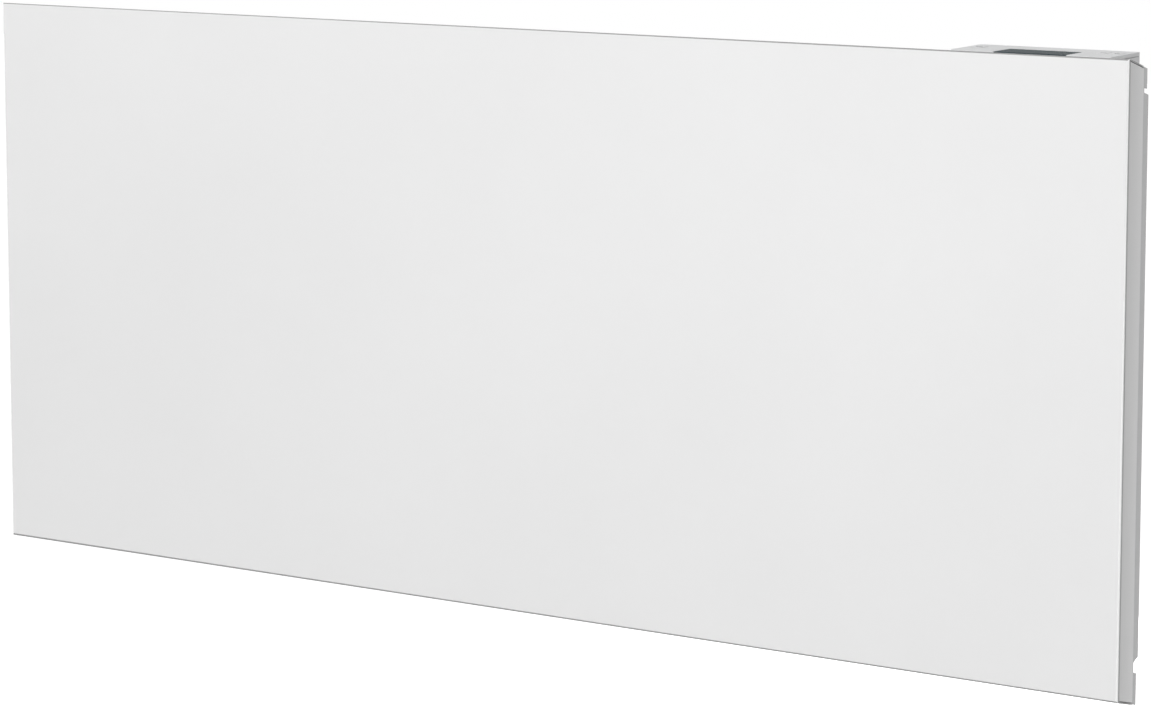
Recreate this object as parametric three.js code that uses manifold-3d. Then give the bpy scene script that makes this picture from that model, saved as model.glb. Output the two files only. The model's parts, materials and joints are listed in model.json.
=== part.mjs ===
// Wall panel convector heater: a folded steel front cover on a chassis plate, a convection casing with
// a finned element behind it, a control module that drops in at the top right, and a wall bracket.
// Millimetres. X runs to the right as seen from the front, Y towards the wall, Z up. The origin is the
// middle of the wall bracket's back face. The heater group counts Y as depth behind the front face.
import * as THREE from "three";
import { mergeVertices } from "three/addons/utils/BufferGeometryUtils.js";
import Module from "manifold-3d";

// ---------- driving dimensions ----------
const clearance = 0.3; // between pieces that seat on or pass through each other
const sheet = 1; // steel of the cover, the chassis plate and the casing
const overcut = 2; // how far a cut runs past the material
const bite = 1; // how far joined forms run into each other

// front cover
const panelWidth = 882;
const panelHeight = 370;
const coverDepth = 16.75;
const coverEdgeRadius = 1.6;
const topFlangeFall = 0.311; // the top flange falls this much for each mm of depth
const bottomFlangeFall = 0.24;
const cornerSeam = 0.4; // open seam where two folded flanges meet

// chassis plate
const rimInset = 0.3; // the plate stands this far inside the cover's outline
const rimDepth = 4.8; // folded rim, seen from the side
const endRimDepth = 3.1; // the same rim above and below its notches
const topNotchDrop = 11.9;
const topNotchWidth = 2.9;
const bottomNotchRise = 19.3;
const bottomNotchWidth = 6.1;
const bottomNotchSlope = 3.6; // how far the notch widens towards the wall
const tabWidth = 30;
const tabReach = 12;
const tabEndInset = 81; // from the panel's end to the middle of the outer tabs
const topTabFromModule = 80;

// convection casing
const casingLeftMargin = 41; // from the panel's edges
const casingRightMargin = 141;
const casingTopMargin = 25;
const casingBottomMargin = 17;
const casingDepth = 40.4;
const casingEdgeRadius = 3;
const casingFlange = 10;
const flangeScrewInset = 30; // from the casing's top and bottom
const ribWidth = 8;
const ribHeight = 1.2;
const ribSpacing = 110;
const ribEndGap = 29; // from the casing's top and bottom
const ribSideInset = 25; // from the casing's ends to the outer ribs
const inletEndMargin = 15;
const inletWidth = 14;
const inletPitch = 22;
const inletLength = 13;
const inletRowGap = 4;

// outlet grille
const grilleThickness = 1.5;
const grilleEndMargin = 15;
const grilleSideMargin = 6;
const grilleLap = 4;
const grilleCornerRadius = 3;
const grilleLipDepth = 5;
const outletWidth = 11;
const outletPitch = 16;
const outletSideGap = 3; // from the casing's opening to the slots

// heating element
const elementRise = 73; // above the casing's bottom
const elementEndGap = 45; // from the casing's ends to the tube's
const tubeRadius = 4;
const diffuserEndGap = 30; // from the tube's ends to the diffuser's
const hubWall = 1.6;
const bladeLength = 26;
const bladeThickness = 1.6;
const bladeAngle = 1.05; // radians between a blade and the depth axis
const bladeTip = 8;
const supportInset = 12;
const supportThickness = 1.2;
const supportHeight = 26;
const supportReach = 12;
const supportFoot = 14;
const bushRadius = 7;
const bushLip = 2;
const bushLength = 7;
const beadRadius = 5;
const beadLength = 8;
const studRadius = 1.5;
const studLength = 6;

// shields and cut-out inside the casing
const shieldThickness = 0.8;
const shieldStandoff = 4;
const shieldHeight = 210;
const shieldRise = 18; // above the casing's bottom
const shieldEndGap = 20;
const shieldBaffleGap = 10;
const baffleInset = 14;
const baffleHeight = 178;
const baffleFoot = 8;
const cutoutFromEnd = 240; // from the casing's right end
const cutoutRise = 71; // above the element
const cutoutRadius = 8;
const cutoutHeight = 7;
const cutoutTabReach = 14;
const cutoutTabWidth = 6;
const cutoutTabThickness = 0.8;
const cutoutShelfDepth = 22;
const cutoutShelfEdge = 2;
const cutoutShelfWidth = 20;
const cutoutFoot = 12;

// control module
const moduleWidth = 106.8;
const moduleRightMargin = 12.7;
const moduleRear = 35.2;
const moduleHeight = 155;
const moduleWall = 2;
const moduleCornerRadius = 2;
const moduleTopRise = 1.1; // how far the top climbs from its front edge to its rear edge
const moduleSlotGap = 0.5;
const fasciaThickness = 2.2;
const fasciaLipHeight = 4;
const fasciaLipWall = 1.2;
const earWidth = 9;
const earHeight = 12;
const earThickness = 2;
const earRise = 30;
const softCorner = 0.4; // least radius of a moulded corner
const grooveRib = 1.5;
const grooveRibReach = 3;

// display and buttons
const windowWidth = 48.6;
const windowRear = 20.5;
const windowRecess = 0.1;
const lensThickness = 1.2;
const lensLap = 2;
const lensRoomGap = 1;
const displayHeight = 6.5;
const boardThickness = 1.6;
const boardMargin = 0.4;
const buttonWidth = 7;
const buttonDepth = 10;
const buttonCentreDepth = 20.8;
const buttonProud = 0.2;
const buttonTravel = 0.6;
const buttonLip = 0.7;
const buttonLipThickness = 1;
const buttonCornerRadius = 1.2;
const buttonStem = 3;
const powerButtonOffset = -45.6;
const minusButtonOffset = 37;
const plusButtonOffset = 45.9;
const switchSize = 5;
const mainBoardDepth = 11;
const mainBoardHeight = 122;

// what stands on the upright board, from the middle of the module and up from its floor
const relayBox = { across: 30, rise: 84, width: 20, depth: 15.5, height: 28 };
const transformerCore = { across: -25, rise: 78, width: 32, depth: 14, height: 26 };
const transformerCoil = { across: -25, rise: 82, width: 22, depth: 18, height: 18 };
const capacitorRadius = 6;
const capacitorLength = 20;
const capacitorAcross = 6;
const capacitorRise = 58;
const terminalBox = { across: -2, rise: 18, width: 52, depth: 15, height: 17 };
const terminalPitch = 12;
const terminalCount = 4;
const terminalSlotWidth = 6;
const terminalSlotFront = 4;
const terminalSlotRise = 9;

// wiring, inlet and earth
const wireRadius = 1.3;
const wireSpacing = 5;
const wireStandoff = 2.6;
const wireExitRise = 7;
const wireBend = 7;
const wireStraight = 4; // each side of a hole that a wire goes through
const wireDrop = 8; // from a terminal's end to the upright run beside it
const grommetRadius = 5.9;
const grommetLip = 1;
const grommetThickness = 5;
const glandRadius = 7.1;
const glandBarrel = 5.4;
const glandBore = 3.6;
const glandLength = 14;
const glandNutHeight = 5;
const glandCollarHeight = 3;
const glandAcross = 14;
const sensorFromEnd = 14;
const sensorDrop = 5;
const sensorRise = 6;
const sensorCollar = 2;
const earthRadius = 2;
const earthHeadHeight = 1.5;
const earthStudReach = 9;
const earthNutRadius = 4.4;
const earthNutHeight = 3;
const lugThickness = 0.8;
const lugRadius = 4.8;
const earthDrop = 18;
const earthInset = 26;

// fasteners
const screwRadius = 1.75;
const screwHeadRadius = 3.5;
const screwHeadHeight = 2.2;
const screwLength = 8;
const driveLength = 4.8;
const driveWidth = 0.8;
const coverScrewHeadHeight = 1.6; // low, so that it stays out of sight from the front

// wall bracket and catches
const wallGap = 26; // from the casing to the wall
const bracketSheet = 1.5;
const armSpread = 220;
const armRise = 12; // above the hook's seat
const armFoot = 26; // below the casing's ear
const armWaistTop = 40; // below the hook
const armWaistSlope = 20;
const armWaistBottom = 30; // above the casing's ear
const armLegRise = 12;
const armLegGap = 2;
const uprightWidth = 40;
const uprightOutside = 15;
const crossbarHeight = 44;
const hookDrop = 60; // below the casing's top
const hookHeight = 8;
const hookFinger = 3;
const hookRise = 8;
const hookSlotDrop = 18;
const hookSlotGap = 1; // each side of the bracket's arm
const slotLength = 14;
const slotWidth = 5.5;
const upperSlotDrop = 20; // below the upright's top
const lowerSlotRise = 96; // above the upright's bottom
const crossbarSlotSpread = 88;
const catchInset = 15;
const catchFromWall = 18;
const catchTravel = 8;
const catchHalfWidth = 2;
const catchHalfDepth = 2.5;
const catchEarRise = 28; // above the casing's bottom
const catchEarWidth = 20;
const catchEarReach = 14;
const catchFreeGap = 3; // between the ear and the nose of a catch that is pulled right down
const catchCollar = 11;
const catchCollarHeight = 2;
const catchHandleWidth = 18;
const catchHandleDepth = 8;
const catchHandleHeight = 12;
const catchHandleDrop = 6;
const gripDepth = 0.8;
const gripHeight = 1.6;
const shelfDrop = 24;
const shelfDepth = 24;
const springRadius = 4.4;
const springWireRadius = 0.5;
const springCurls = 6;
const stepsPerCurl = 8;
const springSides = 5;

// padding behind the front sheet
const padWidth = 20;
const padHeight = 60;
const padSpread = 150;

// ---------- sizes that follow ----------
const halfWidth = panelWidth / 2;
const halfHeight = panelHeight / 2;
const chassisFront = coverDepth + clearance;
const chassisRear = chassisFront + sheet;
const chassisHalfWidth = halfWidth - rimInset;
const chassisHalfHeight = halfHeight - rimInset;
const tabLevel = halfHeight - sheet - cornerSeam;
const casingFront = chassisRear + clearance;
const casingRear = casingFront + casingDepth;
const casingLeft = -halfWidth + casingLeftMargin;
const casingRight = halfWidth - casingRightMargin;
const casingBottom = -halfHeight + casingBottomMargin;
const casingTop = halfHeight - casingTopMargin;
const casingCentreX = (casingLeft + casingRight) / 2;
const casingCentreZ = (casingBottom + casingTop) / 2;
const overallDepth = casingRear + wallGap;

const moduleRight = halfWidth - moduleRightMargin;
const moduleLeft = moduleRight - moduleWidth;
const moduleCentreX = (moduleLeft + moduleRight) / 2;
const moduleFront = sheet + clearance;
const moduleBottom = halfHeight - moduleHeight;
const fasciaBottom = halfHeight - fasciaThickness;
const housingTop = fasciaBottom - clearance;
const innerLeft = moduleLeft + moduleWall;
const innerRight = moduleRight - moduleWall;
const innerFront = moduleFront + moduleWall;
const innerRear = moduleRear - moduleWall;
const innerBottom = moduleBottom + moduleWall;
const windowLeft = moduleCentreX - windowWidth / 2;
const windowRight = moduleCentreX + windowWidth / 2;
const lensTop = halfHeight - windowRecess;
const lensFlangeTop = fasciaBottom - clearance;
const displayTop = lensFlangeTop - lensThickness - clearance;
const displayBoardTop = displayTop - displayHeight - clearance;
const displayBoardBottom = displayBoardTop - boardThickness;

const elementY = (chassisRear + casingRear - sheet) / 2;
const elementZ = casingBottom + elementRise;
const tubeLeft = casingLeft + elementEndGap;
const tubeRight = casingRight - elementEndGap;
const cutoutX = casingRight - cutoutFromEnd;
const cutoutY = casingFront + cutoutShelfDepth - cutoutRadius - cutoutShelfEdge;
const cutoutZ = elementZ + cutoutRise;
const cutoutTabZ = cutoutZ - clearance - cutoutHeight / 2;
const wireExitZ = innerBottom + wireExitRise - wireRadius;
const neutralY = casingFront + sheet + wireRadius + wireStandoff;
const liveY = neutralY + wireSpacing;
const earthY = chassisRear + clearance + wireRadius;
const screwHoleRadius = screwRadius + clearance;

const boardRear = mainBoardDepth + boardThickness;
const glandX = moduleCentreX + glandAcross;
const glandY = (chassisRear + innerRear) / 2;
const sensorX = moduleRight - sensorFromEnd;
const earthX = moduleLeft + earthInset;
const earthZ = moduleBottom - earthDrop;

const hookSeat = casingTop - hookDrop;
const armTop = hookSeat + armRise;
const catchEarZ = casingBottom + catchEarRise;
const armBottom = catchEarZ - armFoot;
const shelfZ = catchEarZ - shelfDrop;

// ---------- solids ----------
const wasm = await Module();
wasm.setup();

function solid(geometry) {
  const bare = geometry.clone();
  bare.deleteAttribute("normal");
  bare.deleteAttribute("uv");
  const merged = mergeVertices(bare, 1e-4);
  return new wasm.Manifold(
    new wasm.Mesh({
      numProp: 3,
      vertProperties: new Float32Array(merged.attributes.position.array),
      triVerts: new Uint32Array(merged.index.array),
    }),
  );
}

function geometryOf(shape) {
  const mesh = shape.getMesh();
  const geometry = new THREE.BufferGeometry();
  geometry.setAttribute("position", new THREE.BufferAttribute(mesh.vertProperties, 3));
  geometry.setIndex(new THREE.BufferAttribute(mesh.triVerts, 1));
  geometry.computeVertexNormals();
  return geometry;
}

function joined(shapes) {
  return shapes.reduce((sum, shape) => sum.add(shape));
}

function ordered(a, b) {
  return [Math.min(a, b), Math.max(a, b)];
}

function cutBy(shape, cutters) {
  return cutters.reduce((rest, cutter) => rest.subtract(cutter), shape);
}

function block(x0, x1, y0, y1, z0, z1) {
  const geometry = new THREE.BoxGeometry(x1 - x0, y1 - y0, z1 - z0);
  return solid(geometry.translate((x0 + x1) / 2, (y0 + y1) / 2, (z0 + z1) / 2));
}

function outline(points) {
  return new THREE.Shape(points.map(([a, b]) => new THREE.Vector2(a, b)));
}

function roundedOutline(a0, a1, b0, b1, radius) {
  const shape = new THREE.Shape();
  shape.absarc(a1 - radius, b1 - radius, radius, 0, Math.PI / 2);
  shape.absarc(a0 + radius, b1 - radius, radius, Math.PI / 2, Math.PI);
  shape.absarc(a0 + radius, b0 + radius, radius, Math.PI, 1.5 * Math.PI);
  shape.absarc(a1 - radius, b0 + radius, radius, 1.5 * Math.PI, 2 * Math.PI);
  shape.closePath();
  return shape;
}

function extruded(shape, length) {
  return new THREE.ExtrudeGeometry(shape, { depth: length, bevelEnabled: false, curveSegments: 2 });
}

// An outline of (x, y) points raised from z0 to z1.
function upright(shape, z0, z1) {
  return solid(extruded(shape, z1 - z0).translate(0, 0, z0));
}

// An outline of (y, z) points swept from x0 to x1.
function acrossX(shape, x0, x1) {
  const turn = new THREE.Matrix4().makeBasis(
    new THREE.Vector3(0, 1, 0),
    new THREE.Vector3(0, 0, 1),
    new THREE.Vector3(1, 0, 0),
  );
  return solid(extruded(shape, x1 - x0).applyMatrix4(turn).translate(x0, 0, 0));
}

// An outline of (x, z) points swept from y0 to y1.
function acrossY(shape, y0, y1) {
  const turn = new THREE.Matrix4().makeBasis(
    new THREE.Vector3(1, 0, 0),
    new THREE.Vector3(0, 0, 1),
    new THREE.Vector3(0, -1, 0),
  );
  return solid(extruded(shape, y1 - y0).applyMatrix4(turn).translate(0, y1, 0));
}

function roundX(radius, x0, x1, y, z, sides = 16) {
  const geometry = new THREE.CylinderGeometry(radius, radius, x1 - x0, sides);
  return solid(geometry.rotateZ(-Math.PI / 2).translate((x0 + x1) / 2, y, z));
}

function roundY(radius, y0, y1, x, z, sides = 16) {
  const geometry = new THREE.CylinderGeometry(radius, radius, y1 - y0, sides);
  return solid(geometry.translate(x, (y0 + y1) / 2, z));
}

function roundZ(radius, z0, z1, x, y, sides = 16) {
  const geometry = new THREE.CylinderGeometry(radius, radius, z1 - z0, sides);
  return solid(geometry.rotateX(Math.PI / 2).translate(x, y, (z0 + z1) / 2));
}

// Slants the cover or the plate: it falls with depth, faster at its top than at its bottom.
function fallen(shape) {
  const geometry = geometryOf(shape);
  const place = geometry.attributes.position;
  for (let i = 0; i < place.count; i += 1) {
    const share = (place.getZ(i) + halfHeight) / panelHeight;
    const fall = bottomFlangeFall + share * (topFlangeFall - bottomFlangeFall);
    place.setZ(i, place.getZ(i) - fall * place.getY(i));
  }
  return solid(geometry);
}

// A folded tray: the closed face lies at yClosed with rounded edges, the walls run to yOpen.
function tray(x0, x1, z0, z1, yClosed, yOpen, radius, wall) {
  const towardsWall = yOpen > yClosed;
  const depth = Math.abs(yOpen - yClosed);
  const flip = towardsWall ? -1 : 1;
  const [a0, a1] = towardsWall ? [-x1, -x0] : [x0, x1];
  const face = outline([
    [a0 + radius, z0 + radius],
    [a1 - radius, z0 + radius],
    [a1 - radius, z1 - radius],
    [a0 + radius, z1 - radius],
  ]);
  const body = new THREE.ExtrudeGeometry(face, {
    depth,
    bevelThickness: radius,
    bevelSize: radius,
    bevelSegments: 3,
  });
  const turn = new THREE.Matrix4().makeBasis(
    new THREE.Vector3(flip, 0, 0),
    new THREE.Vector3(0, 0, 1),
    new THREE.Vector3(0, -flip, 0),
  );
  body.translate(0, 0, radius).applyMatrix4(turn).translate(0, yClosed, 0);
  const low = Math.min(yClosed, yOpen);
  const high = Math.max(yClosed, yOpen);
  const trimmed = solid(body).intersect(block(x0 - 1, x1 + 1, low, high, z0 - 1, z1 + 1));
  const inside = towardsWall ? [yClosed + wall, yOpen + overcut] : [yOpen - overcut, yClosed - wall];
  return trimmed.subtract(block(x0 + wall, x1 - wall, ...inside, z0 + wall, z1 - wall));
}

function wireAlong(points, radius = wireRadius) {
  const path = new THREE.CatmullRomCurve3(points.map((p) => new THREE.Vector3(...p)), false, "centripetal");
  const section = new THREE.Shape().absarc(0, 0, radius, 0, 2 * Math.PI);
  const steps = Math.min(48, Math.ceil(path.getLength() / 14) + points.length);
  return solid(
    new THREE.ExtrudeGeometry(section, { steps, extrudePath: path, curveSegments: 3, bevelEnabled: false }),
  );
}

// ---------- scene ----------
const heater = new THREE.Group();
const mounting = new THREE.Group();

const whiteSteel = { color: 0xf1f1f1, roughness: 0.45, metalness: 0 };
const greySteel = { color: 0xd6d7d8, roughness: 0.5, metalness: 0 };
const galvanised = { color: 0xb9bcbe, roughness: 0.4, metalness: 0.9 };
const aluminium = { color: 0xc9ccd0, roughness: 0.35, metalness: 1 };
const stainless = { color: 0x8f9296, roughness: 0.3, metalness: 1 };
const zincScrew = { color: 0xa9abad, roughness: 0.35, metalness: 1 };
const palePlastic = { color: 0xe4e5e6, roughness: 0.5, metalness: 0 };
const greyPlastic = { color: 0x9a9da0, roughness: 0.6, metalness: 0 };
const blackPlastic = { color: 0x202224, roughness: 0.5, metalness: 0 };
const ceramic = { color: 0xe9e4d8, roughness: 0.6, metalness: 0 };
const boardGreen = { color: 0x1f5a3a, roughness: 0.5, metalness: 0 };
const darkGlass = { color: 0x27333b, roughness: 0.1, metalness: 0 };
const foam = { color: 0x4a4c4e, roughness: 0.95, metalness: 0 };
const brownWire = { color: 0x6b3f22, roughness: 0.6, metalness: 0 };
const blueWire = { color: 0x2a5d9a, roughness: 0.6, metalness: 0 };
const greenWire = { color: 0x5f9a3a, roughness: 0.6, metalness: 0 };
const blueCan = { color: 0x2b3f6b, roughness: 0.4, metalness: 0 };

function addPiece(parent, name, shape, finish) {
  const mesh = new THREE.Mesh(geometryOf(shape), new THREE.MeshStandardMaterial(finish));
  mesh.name = name;
  parent.add(mesh);
  return mesh;
}

// ---------- front cover ----------
function frontCover() {
  const pan = tray(-halfWidth, halfWidth, -halfHeight, halfHeight, 0, coverDepth, coverEdgeRadius, sheet);
  const seams = [];
  for (const side of [-1, 1]) {
    const [x0, x1] = ordered(side * (halfWidth - sheet - overcut), side * (halfWidth + overcut));
    for (const end of [-1, 1]) {
      const z = end * (halfHeight - sheet - cornerSeam / 2);
      seams.push(block(x0, x1, moduleFront, coverDepth + overcut, z - cornerSeam / 2, z + cornerSeam / 2));
    }
  }
  const moduleSlot = block(
    moduleLeft - moduleSlotGap,
    moduleRight + moduleSlotGap,
    sheet,
    coverDepth + overcut,
    halfHeight - sheet - overcut,
    halfHeight + overcut,
  );
  const folded = fallen(cutBy(pan, [...seams, moduleSlot]));
  return cutBy(folded, coverScrewPlaces().map((at) => coverScrewHole(at)));
}

// The cover hooks on at the bottom. Two screws stand square to its sloping top flange.
function coverScrewPlaces() {
  const depth = chassisFront - tabReach / 4;
  const z = halfHeight - sheet - cornerSeam / 2 - topFlangeFall * depth;
  return [topTabXs()[0], topTabXs()[2]].map((x) => [x, depth, z]);
}

function topTabXs() {
  const left = -halfWidth + tabEndInset;
  const right = moduleLeft - topTabFromModule;
  return [left, (left + right) / 2, right];
}

function bottomTabXs() {
  const spread = halfWidth - tabEndInset;
  return [-spread, 0, spread];
}

function coverScrewHole([x, y, z]) {
  const radius = screwHoleRadius + clearance;
  const hole = new THREE.CylinderGeometry(radius, radius, 4 * sheet + 2 * overcut, 16).rotateX(Math.PI / 2);
  return solid(hole.rotateX(-Math.atan(topFlangeFall)).translate(x, y, z));
}

// ---------- chassis plate ----------
function chassisPlate() {
  const rearEdge = chassisRear + rimDepth;
  const endEdge = chassisRear + endRimDepth;
  const far = halfWidth + overcut;
  const notchTop = halfHeight - topNotchDrop;
  const notchBottom = -halfHeight + bottomNotchRise;
  const body = block(
    -chassisHalfWidth,
    chassisHalfWidth,
    chassisFront,
    rearEdge,
    -chassisHalfHeight,
    chassisHalfHeight,
  );
  const hollow = block(
    -chassisHalfWidth + sheet,
    chassisHalfWidth - sheet,
    chassisRear,
    rearEdge + overcut,
    -chassisHalfHeight + sheet,
    chassisHalfHeight - sheet,
  );
  const cuts = [
    hollow,
    block(-far, far, endEdge, rearEdge + overcut, notchTop - topNotchWidth / 2, halfHeight + overcut),
    block(-far, far, endEdge, rearEdge + overcut, -halfHeight - overcut, notchBottom + bottomNotchWidth / 2),
    block(-far, far, chassisRear, rearEdge + overcut, notchTop - topNotchWidth, notchTop),
    block(-far, far, chassisRear, rearEdge + overcut, notchBottom, notchBottom + bottomNotchWidth),
    slopingNotch(rearEdge, notchBottom, notchBottom + bottomNotchWidth),
  ];
  const tabFront = chassisFront - tabReach;
  const tabs = bottomTabXs().map((x) =>
    block(x - tabWidth / 2, x + tabWidth / 2, tabFront, chassisRear, -tabLevel, -tabLevel + sheet),
  );
  for (const x of topTabXs()) {
    tabs.push(block(x - tabWidth / 2, x + tabWidth / 2, tabFront, chassisRear, tabLevel - sheet, tabLevel));
  }
  const folded = fallen(joined([cutBy(body, cuts), ...tabs]));
  const moduleBay = block(
    moduleLeft - moduleWall,
    moduleRight + moduleWall,
    chassisFront - overcut,
    rearEdge + overcut,
    moduleBottom - moduleWall,
    halfHeight + overcut,
  );
  const holes = [
    ...coverScrewPlaces().map((at) => coverScrewHole(at)),
    ...plateScrewPlaces().map(([x, z]) => throughPlate(screwHoleRadius, x, z)),
    throughPlate(earthRadius + clearance, earthX, earthZ),
  ];
  return cutBy(folded, [moduleBay, ...holes]);
}

// The wedge above the bottom notch, which widens it towards the wall.
function slopingNotch(rearEdge, low, high) {
  const wedge = outline([
    [chassisRear, low],
    [rearEdge + overcut, low],
    [rearEdge + overcut, high + bottomNotchSlope],
    [rearEdge, high + bottomNotchSlope],
    [chassisRear, high],
  ]);
  return acrossX(wedge, -halfWidth - overcut, halfWidth + overcut);
}

function throughPlate(radius, x, z) {
  return roundY(radius, chassisFront - overcut, chassisRear + overcut, x, z);
}

// ---------- convection casing ----------
function casingScrewPlaces() {
  const places = [];
  for (const x of [casingLeft - casingFlange / 2, casingRight + casingFlange / 2]) {
    places.push([x, casingBottom + flangeScrewInset], [x, casingCentreZ], [x, casingTop - flangeScrewInset]);
  }
  return places;
}

function earScrewPlaces() {
  const z = moduleBottom + earRise + earHeight / 2;
  return [moduleLeft - earWidth / 2, moduleRight + earWidth / 2].map((x) => [x, z]);
}

function plateScrewPlaces() {
  return [...casingScrewPlaces(), ...earScrewPlaces()];
}

function rearCasing() {
  const box = tray(
    casingLeft,
    casingRight,
    casingBottom,
    casingTop,
    casingRear,
    casingFront,
    casingEdgeRadius,
    sheet,
  );
  const flangeRear = casingFront + sheet;
  const flanges = [
    block(casingLeft - casingFlange, casingLeft + sheet, casingFront, flangeRear, casingBottom, casingTop),
    block(casingRight - sheet, casingRight + casingFlange, casingFront, flangeRear, casingBottom, casingTop),
  ];
  const body = joined([box, ...flanges, ...pressedRibs(), ...catchEars()]);
  const outlet = block(
    casingLeft + grilleEndMargin,
    casingRight - grilleEndMargin,
    casingFront + grilleSideMargin,
    casingRear - grilleSideMargin,
    casingTop - overcut,
    casingTop + overcut,
  );
  const flangeHoles = casingScrewPlaces().map(([x, z]) =>
    roundY(screwHoleRadius, casingFront - overcut, flangeRear + overcut, x, z),
  );
  const wireHole = roundX(
    grommetRadius - grommetLip + clearance,
    casingRight - sheet - overcut,
    casingRight + overcut,
    (neutralY + liveY) / 2,
    wireExitZ,
  );
  return cutBy(body, [outlet, wireHole, ...inletSlots(), ...hookSlots(), ...flangeHoles]);
}

// Upright pressed ribs stiffen the back between the bracket's arms.
function pressedRibs() {
  const [low, high] = [casingBottom + ribEndGap, casingTop - ribEndGap];
  const xs = [casingLeft + ribSideInset, -ribSpacing, 0, ribSpacing, casingRight - ribSideInset];
  return xs.map((x) => {
    const ribRear = casingRear + ribHeight;
    return block(x - ribWidth / 2, x + ribWidth / 2, casingRear - sheet / 2, ribRear, low, high);
  });
}

// Two rows of slots let cool air in through the bottom.
function inletSlots() {
  const middle = (casingFront + casingRear) / 2;
  const count = Math.floor((casingRight - casingLeft - 2 * inletEndMargin) / inletPitch);
  const slots = [];
  for (let i = 0; i < count; i += 1) {
    const x = casingCentreX + (i - (count - 1) / 2) * inletPitch;
    for (const side of [-1, 1]) {
      const y = middle + (side * (inletLength + inletRowGap)) / 2;
      const [x0, x1] = [x - inletWidth / 2, x + inletWidth / 2];
      const [y0, y1] = [y - inletLength / 2, y + inletLength / 2];
      slots.push(block(x0, x1, y0, y1, casingBottom - overcut, casingBottom + sheet + overcut));
    }
  }
  return slots;
}

function hookSlots() {
  const halfSlot = bracketSheet / 2 + hookSlotGap;
  const top = hookSeat + clearance;
  const [front, rear] = [casingRear - sheet - overcut, casingRear + overcut];
  return [-armSpread, armSpread].map((x) =>
    block(x - halfSlot, x + halfSlot, front, rear, top - hookSlotDrop, top),
  );
}

// Ears folded back from the casing, each with a hole for the nose of a catch.
function catchEars() {
  return catchXs().map((x) => {
    const ear = block(
      x - catchEarWidth / 2,
      x + catchEarWidth / 2,
      casingRear - sheet / 2,
      casingRear + catchEarReach,
      catchEarZ,
      catchEarZ + bracketSheet,
    );
    return ear.subtract(catchHole(x, overallDepth - catchFromWall, catchEarZ));
  });
}

function catchXs() {
  return [-1, 1].map((side) => side * (armSpread - catchInset));
}

function catchHole(x, y, z) {
  const halfX = catchHalfWidth + clearance;
  const halfY = catchHalfDepth + clearance;
  return block(x - halfX, x + halfX, y - halfY, y + halfY, z - overcut, z + bracketSheet + overcut);
}

// ---------- outlet grille ----------
function outletGrille() {
  const left = casingLeft + grilleEndMargin - grilleLap;
  const right = casingRight - grilleEndMargin + grilleLap;
  const front = casingFront + grilleSideMargin - grilleLap;
  const rear = casingRear - grilleSideMargin + grilleLap;
  const bottom = casingTop + clearance;
  const plan = roundedOutline(left, right, front, rear, grilleCornerRadius);
  const plate = upright(plan, bottom, bottom + grilleThickness);
  const lips = [];
  for (const y of [front + grilleLap + clearance, rear - grilleLap - clearance - sheet]) {
    const [x0, x1] = [left + 2 * grilleLap, right - 2 * grilleLap];
    lips.push(block(x0, x1, y, y + sheet, bottom - grilleLipDepth, bottom + grilleThickness / 2));
  }
  const count = Math.floor((right - left - 4 * grilleLap) / outletPitch);
  const slots = [];
  for (let i = 0; i < count; i += 1) {
    const x = (left + right) / 2 + (i - (count - 1) / 2) * outletPitch;
    const [y0, y1] = [front + grilleLap + outletSideGap, rear - grilleLap - outletSideGap];
    const [x0, x1] = [x - outletWidth / 2, x + outletWidth / 2];
    slots.push(block(x0, x1, y0, y1, bottom - overcut, bottom + grilleThickness + overcut));
  }
  return cutBy(joined([plate, ...lips]), slots);
}

// ---------- heating element ----------
function diffuser() {
  const [x0, x1] = [tubeLeft + diffuserEndGap, tubeRight - diffuserEndGap];
  const hubRadius = tubeRadius + clearance + hubWall;
  const parts = [roundX(hubRadius, x0, x1, elementY, elementZ)];
  for (const sideY of [-1, 1]) {
    for (const sideZ of [-1, 1]) {
      parts.push(blade(sideY, sideZ, x0, x1));
    }
  }
  return joined(parts).subtract(
    roundX(tubeRadius + clearance, x0 - overcut, x1 + overcut, elementY, elementZ),
  );
}

// One blade of the cross-shaped diffuser, with its tip turned upright.
function blade(sideY, sideZ, x0, x1) {
  const along = new THREE.Vector2(sideY * Math.cos(bladeAngle), sideZ * Math.sin(bladeAngle));
  const across = new THREE.Vector2(-along.y, along.x).multiplyScalar(bladeThickness / 2);
  const root = along.clone().multiplyScalar(tubeRadius + hubWall / 2);
  const end = along.clone().multiplyScalar(bladeLength);
  const corners = [
    root.clone().sub(across),
    end.clone().sub(across),
    end.clone().add(across),
    root.clone().add(across),
  ];
  const flat = acrossX(outline(corners.map((p) => [elementY + p.x, elementZ + p.y])), x0, x1);
  const tipY = elementY + end.x;
  const tipZ = elementZ + end.y;
  const tip = block(
    x0,
    x1,
    tipY - bladeThickness / 2,
    tipY + bladeThickness / 2,
    tipZ - bladeTip / 2,
    tipZ + bladeTip / 2,
  );
  return flat.add(tip);
}

function elementSupport(x, inward) {
  const half = supportThickness / 2;
  const rear = elementY + supportReach;
  const [z0, z1] = [elementZ - supportHeight / 2, elementZ + supportHeight / 2];
  const web = block(x - half, x + half, casingFront, rear, z0, z1);
  const footEnd = x + inward * supportFoot;
  const foot = block(...ordered(x, footEnd), casingFront, casingFront + supportThickness, z0, z1);
  const hole = roundX(bushRadius + clearance, x - overcut, x + overcut, elementY, elementZ);
  return web.add(foot).subtract(hole);
}

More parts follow.
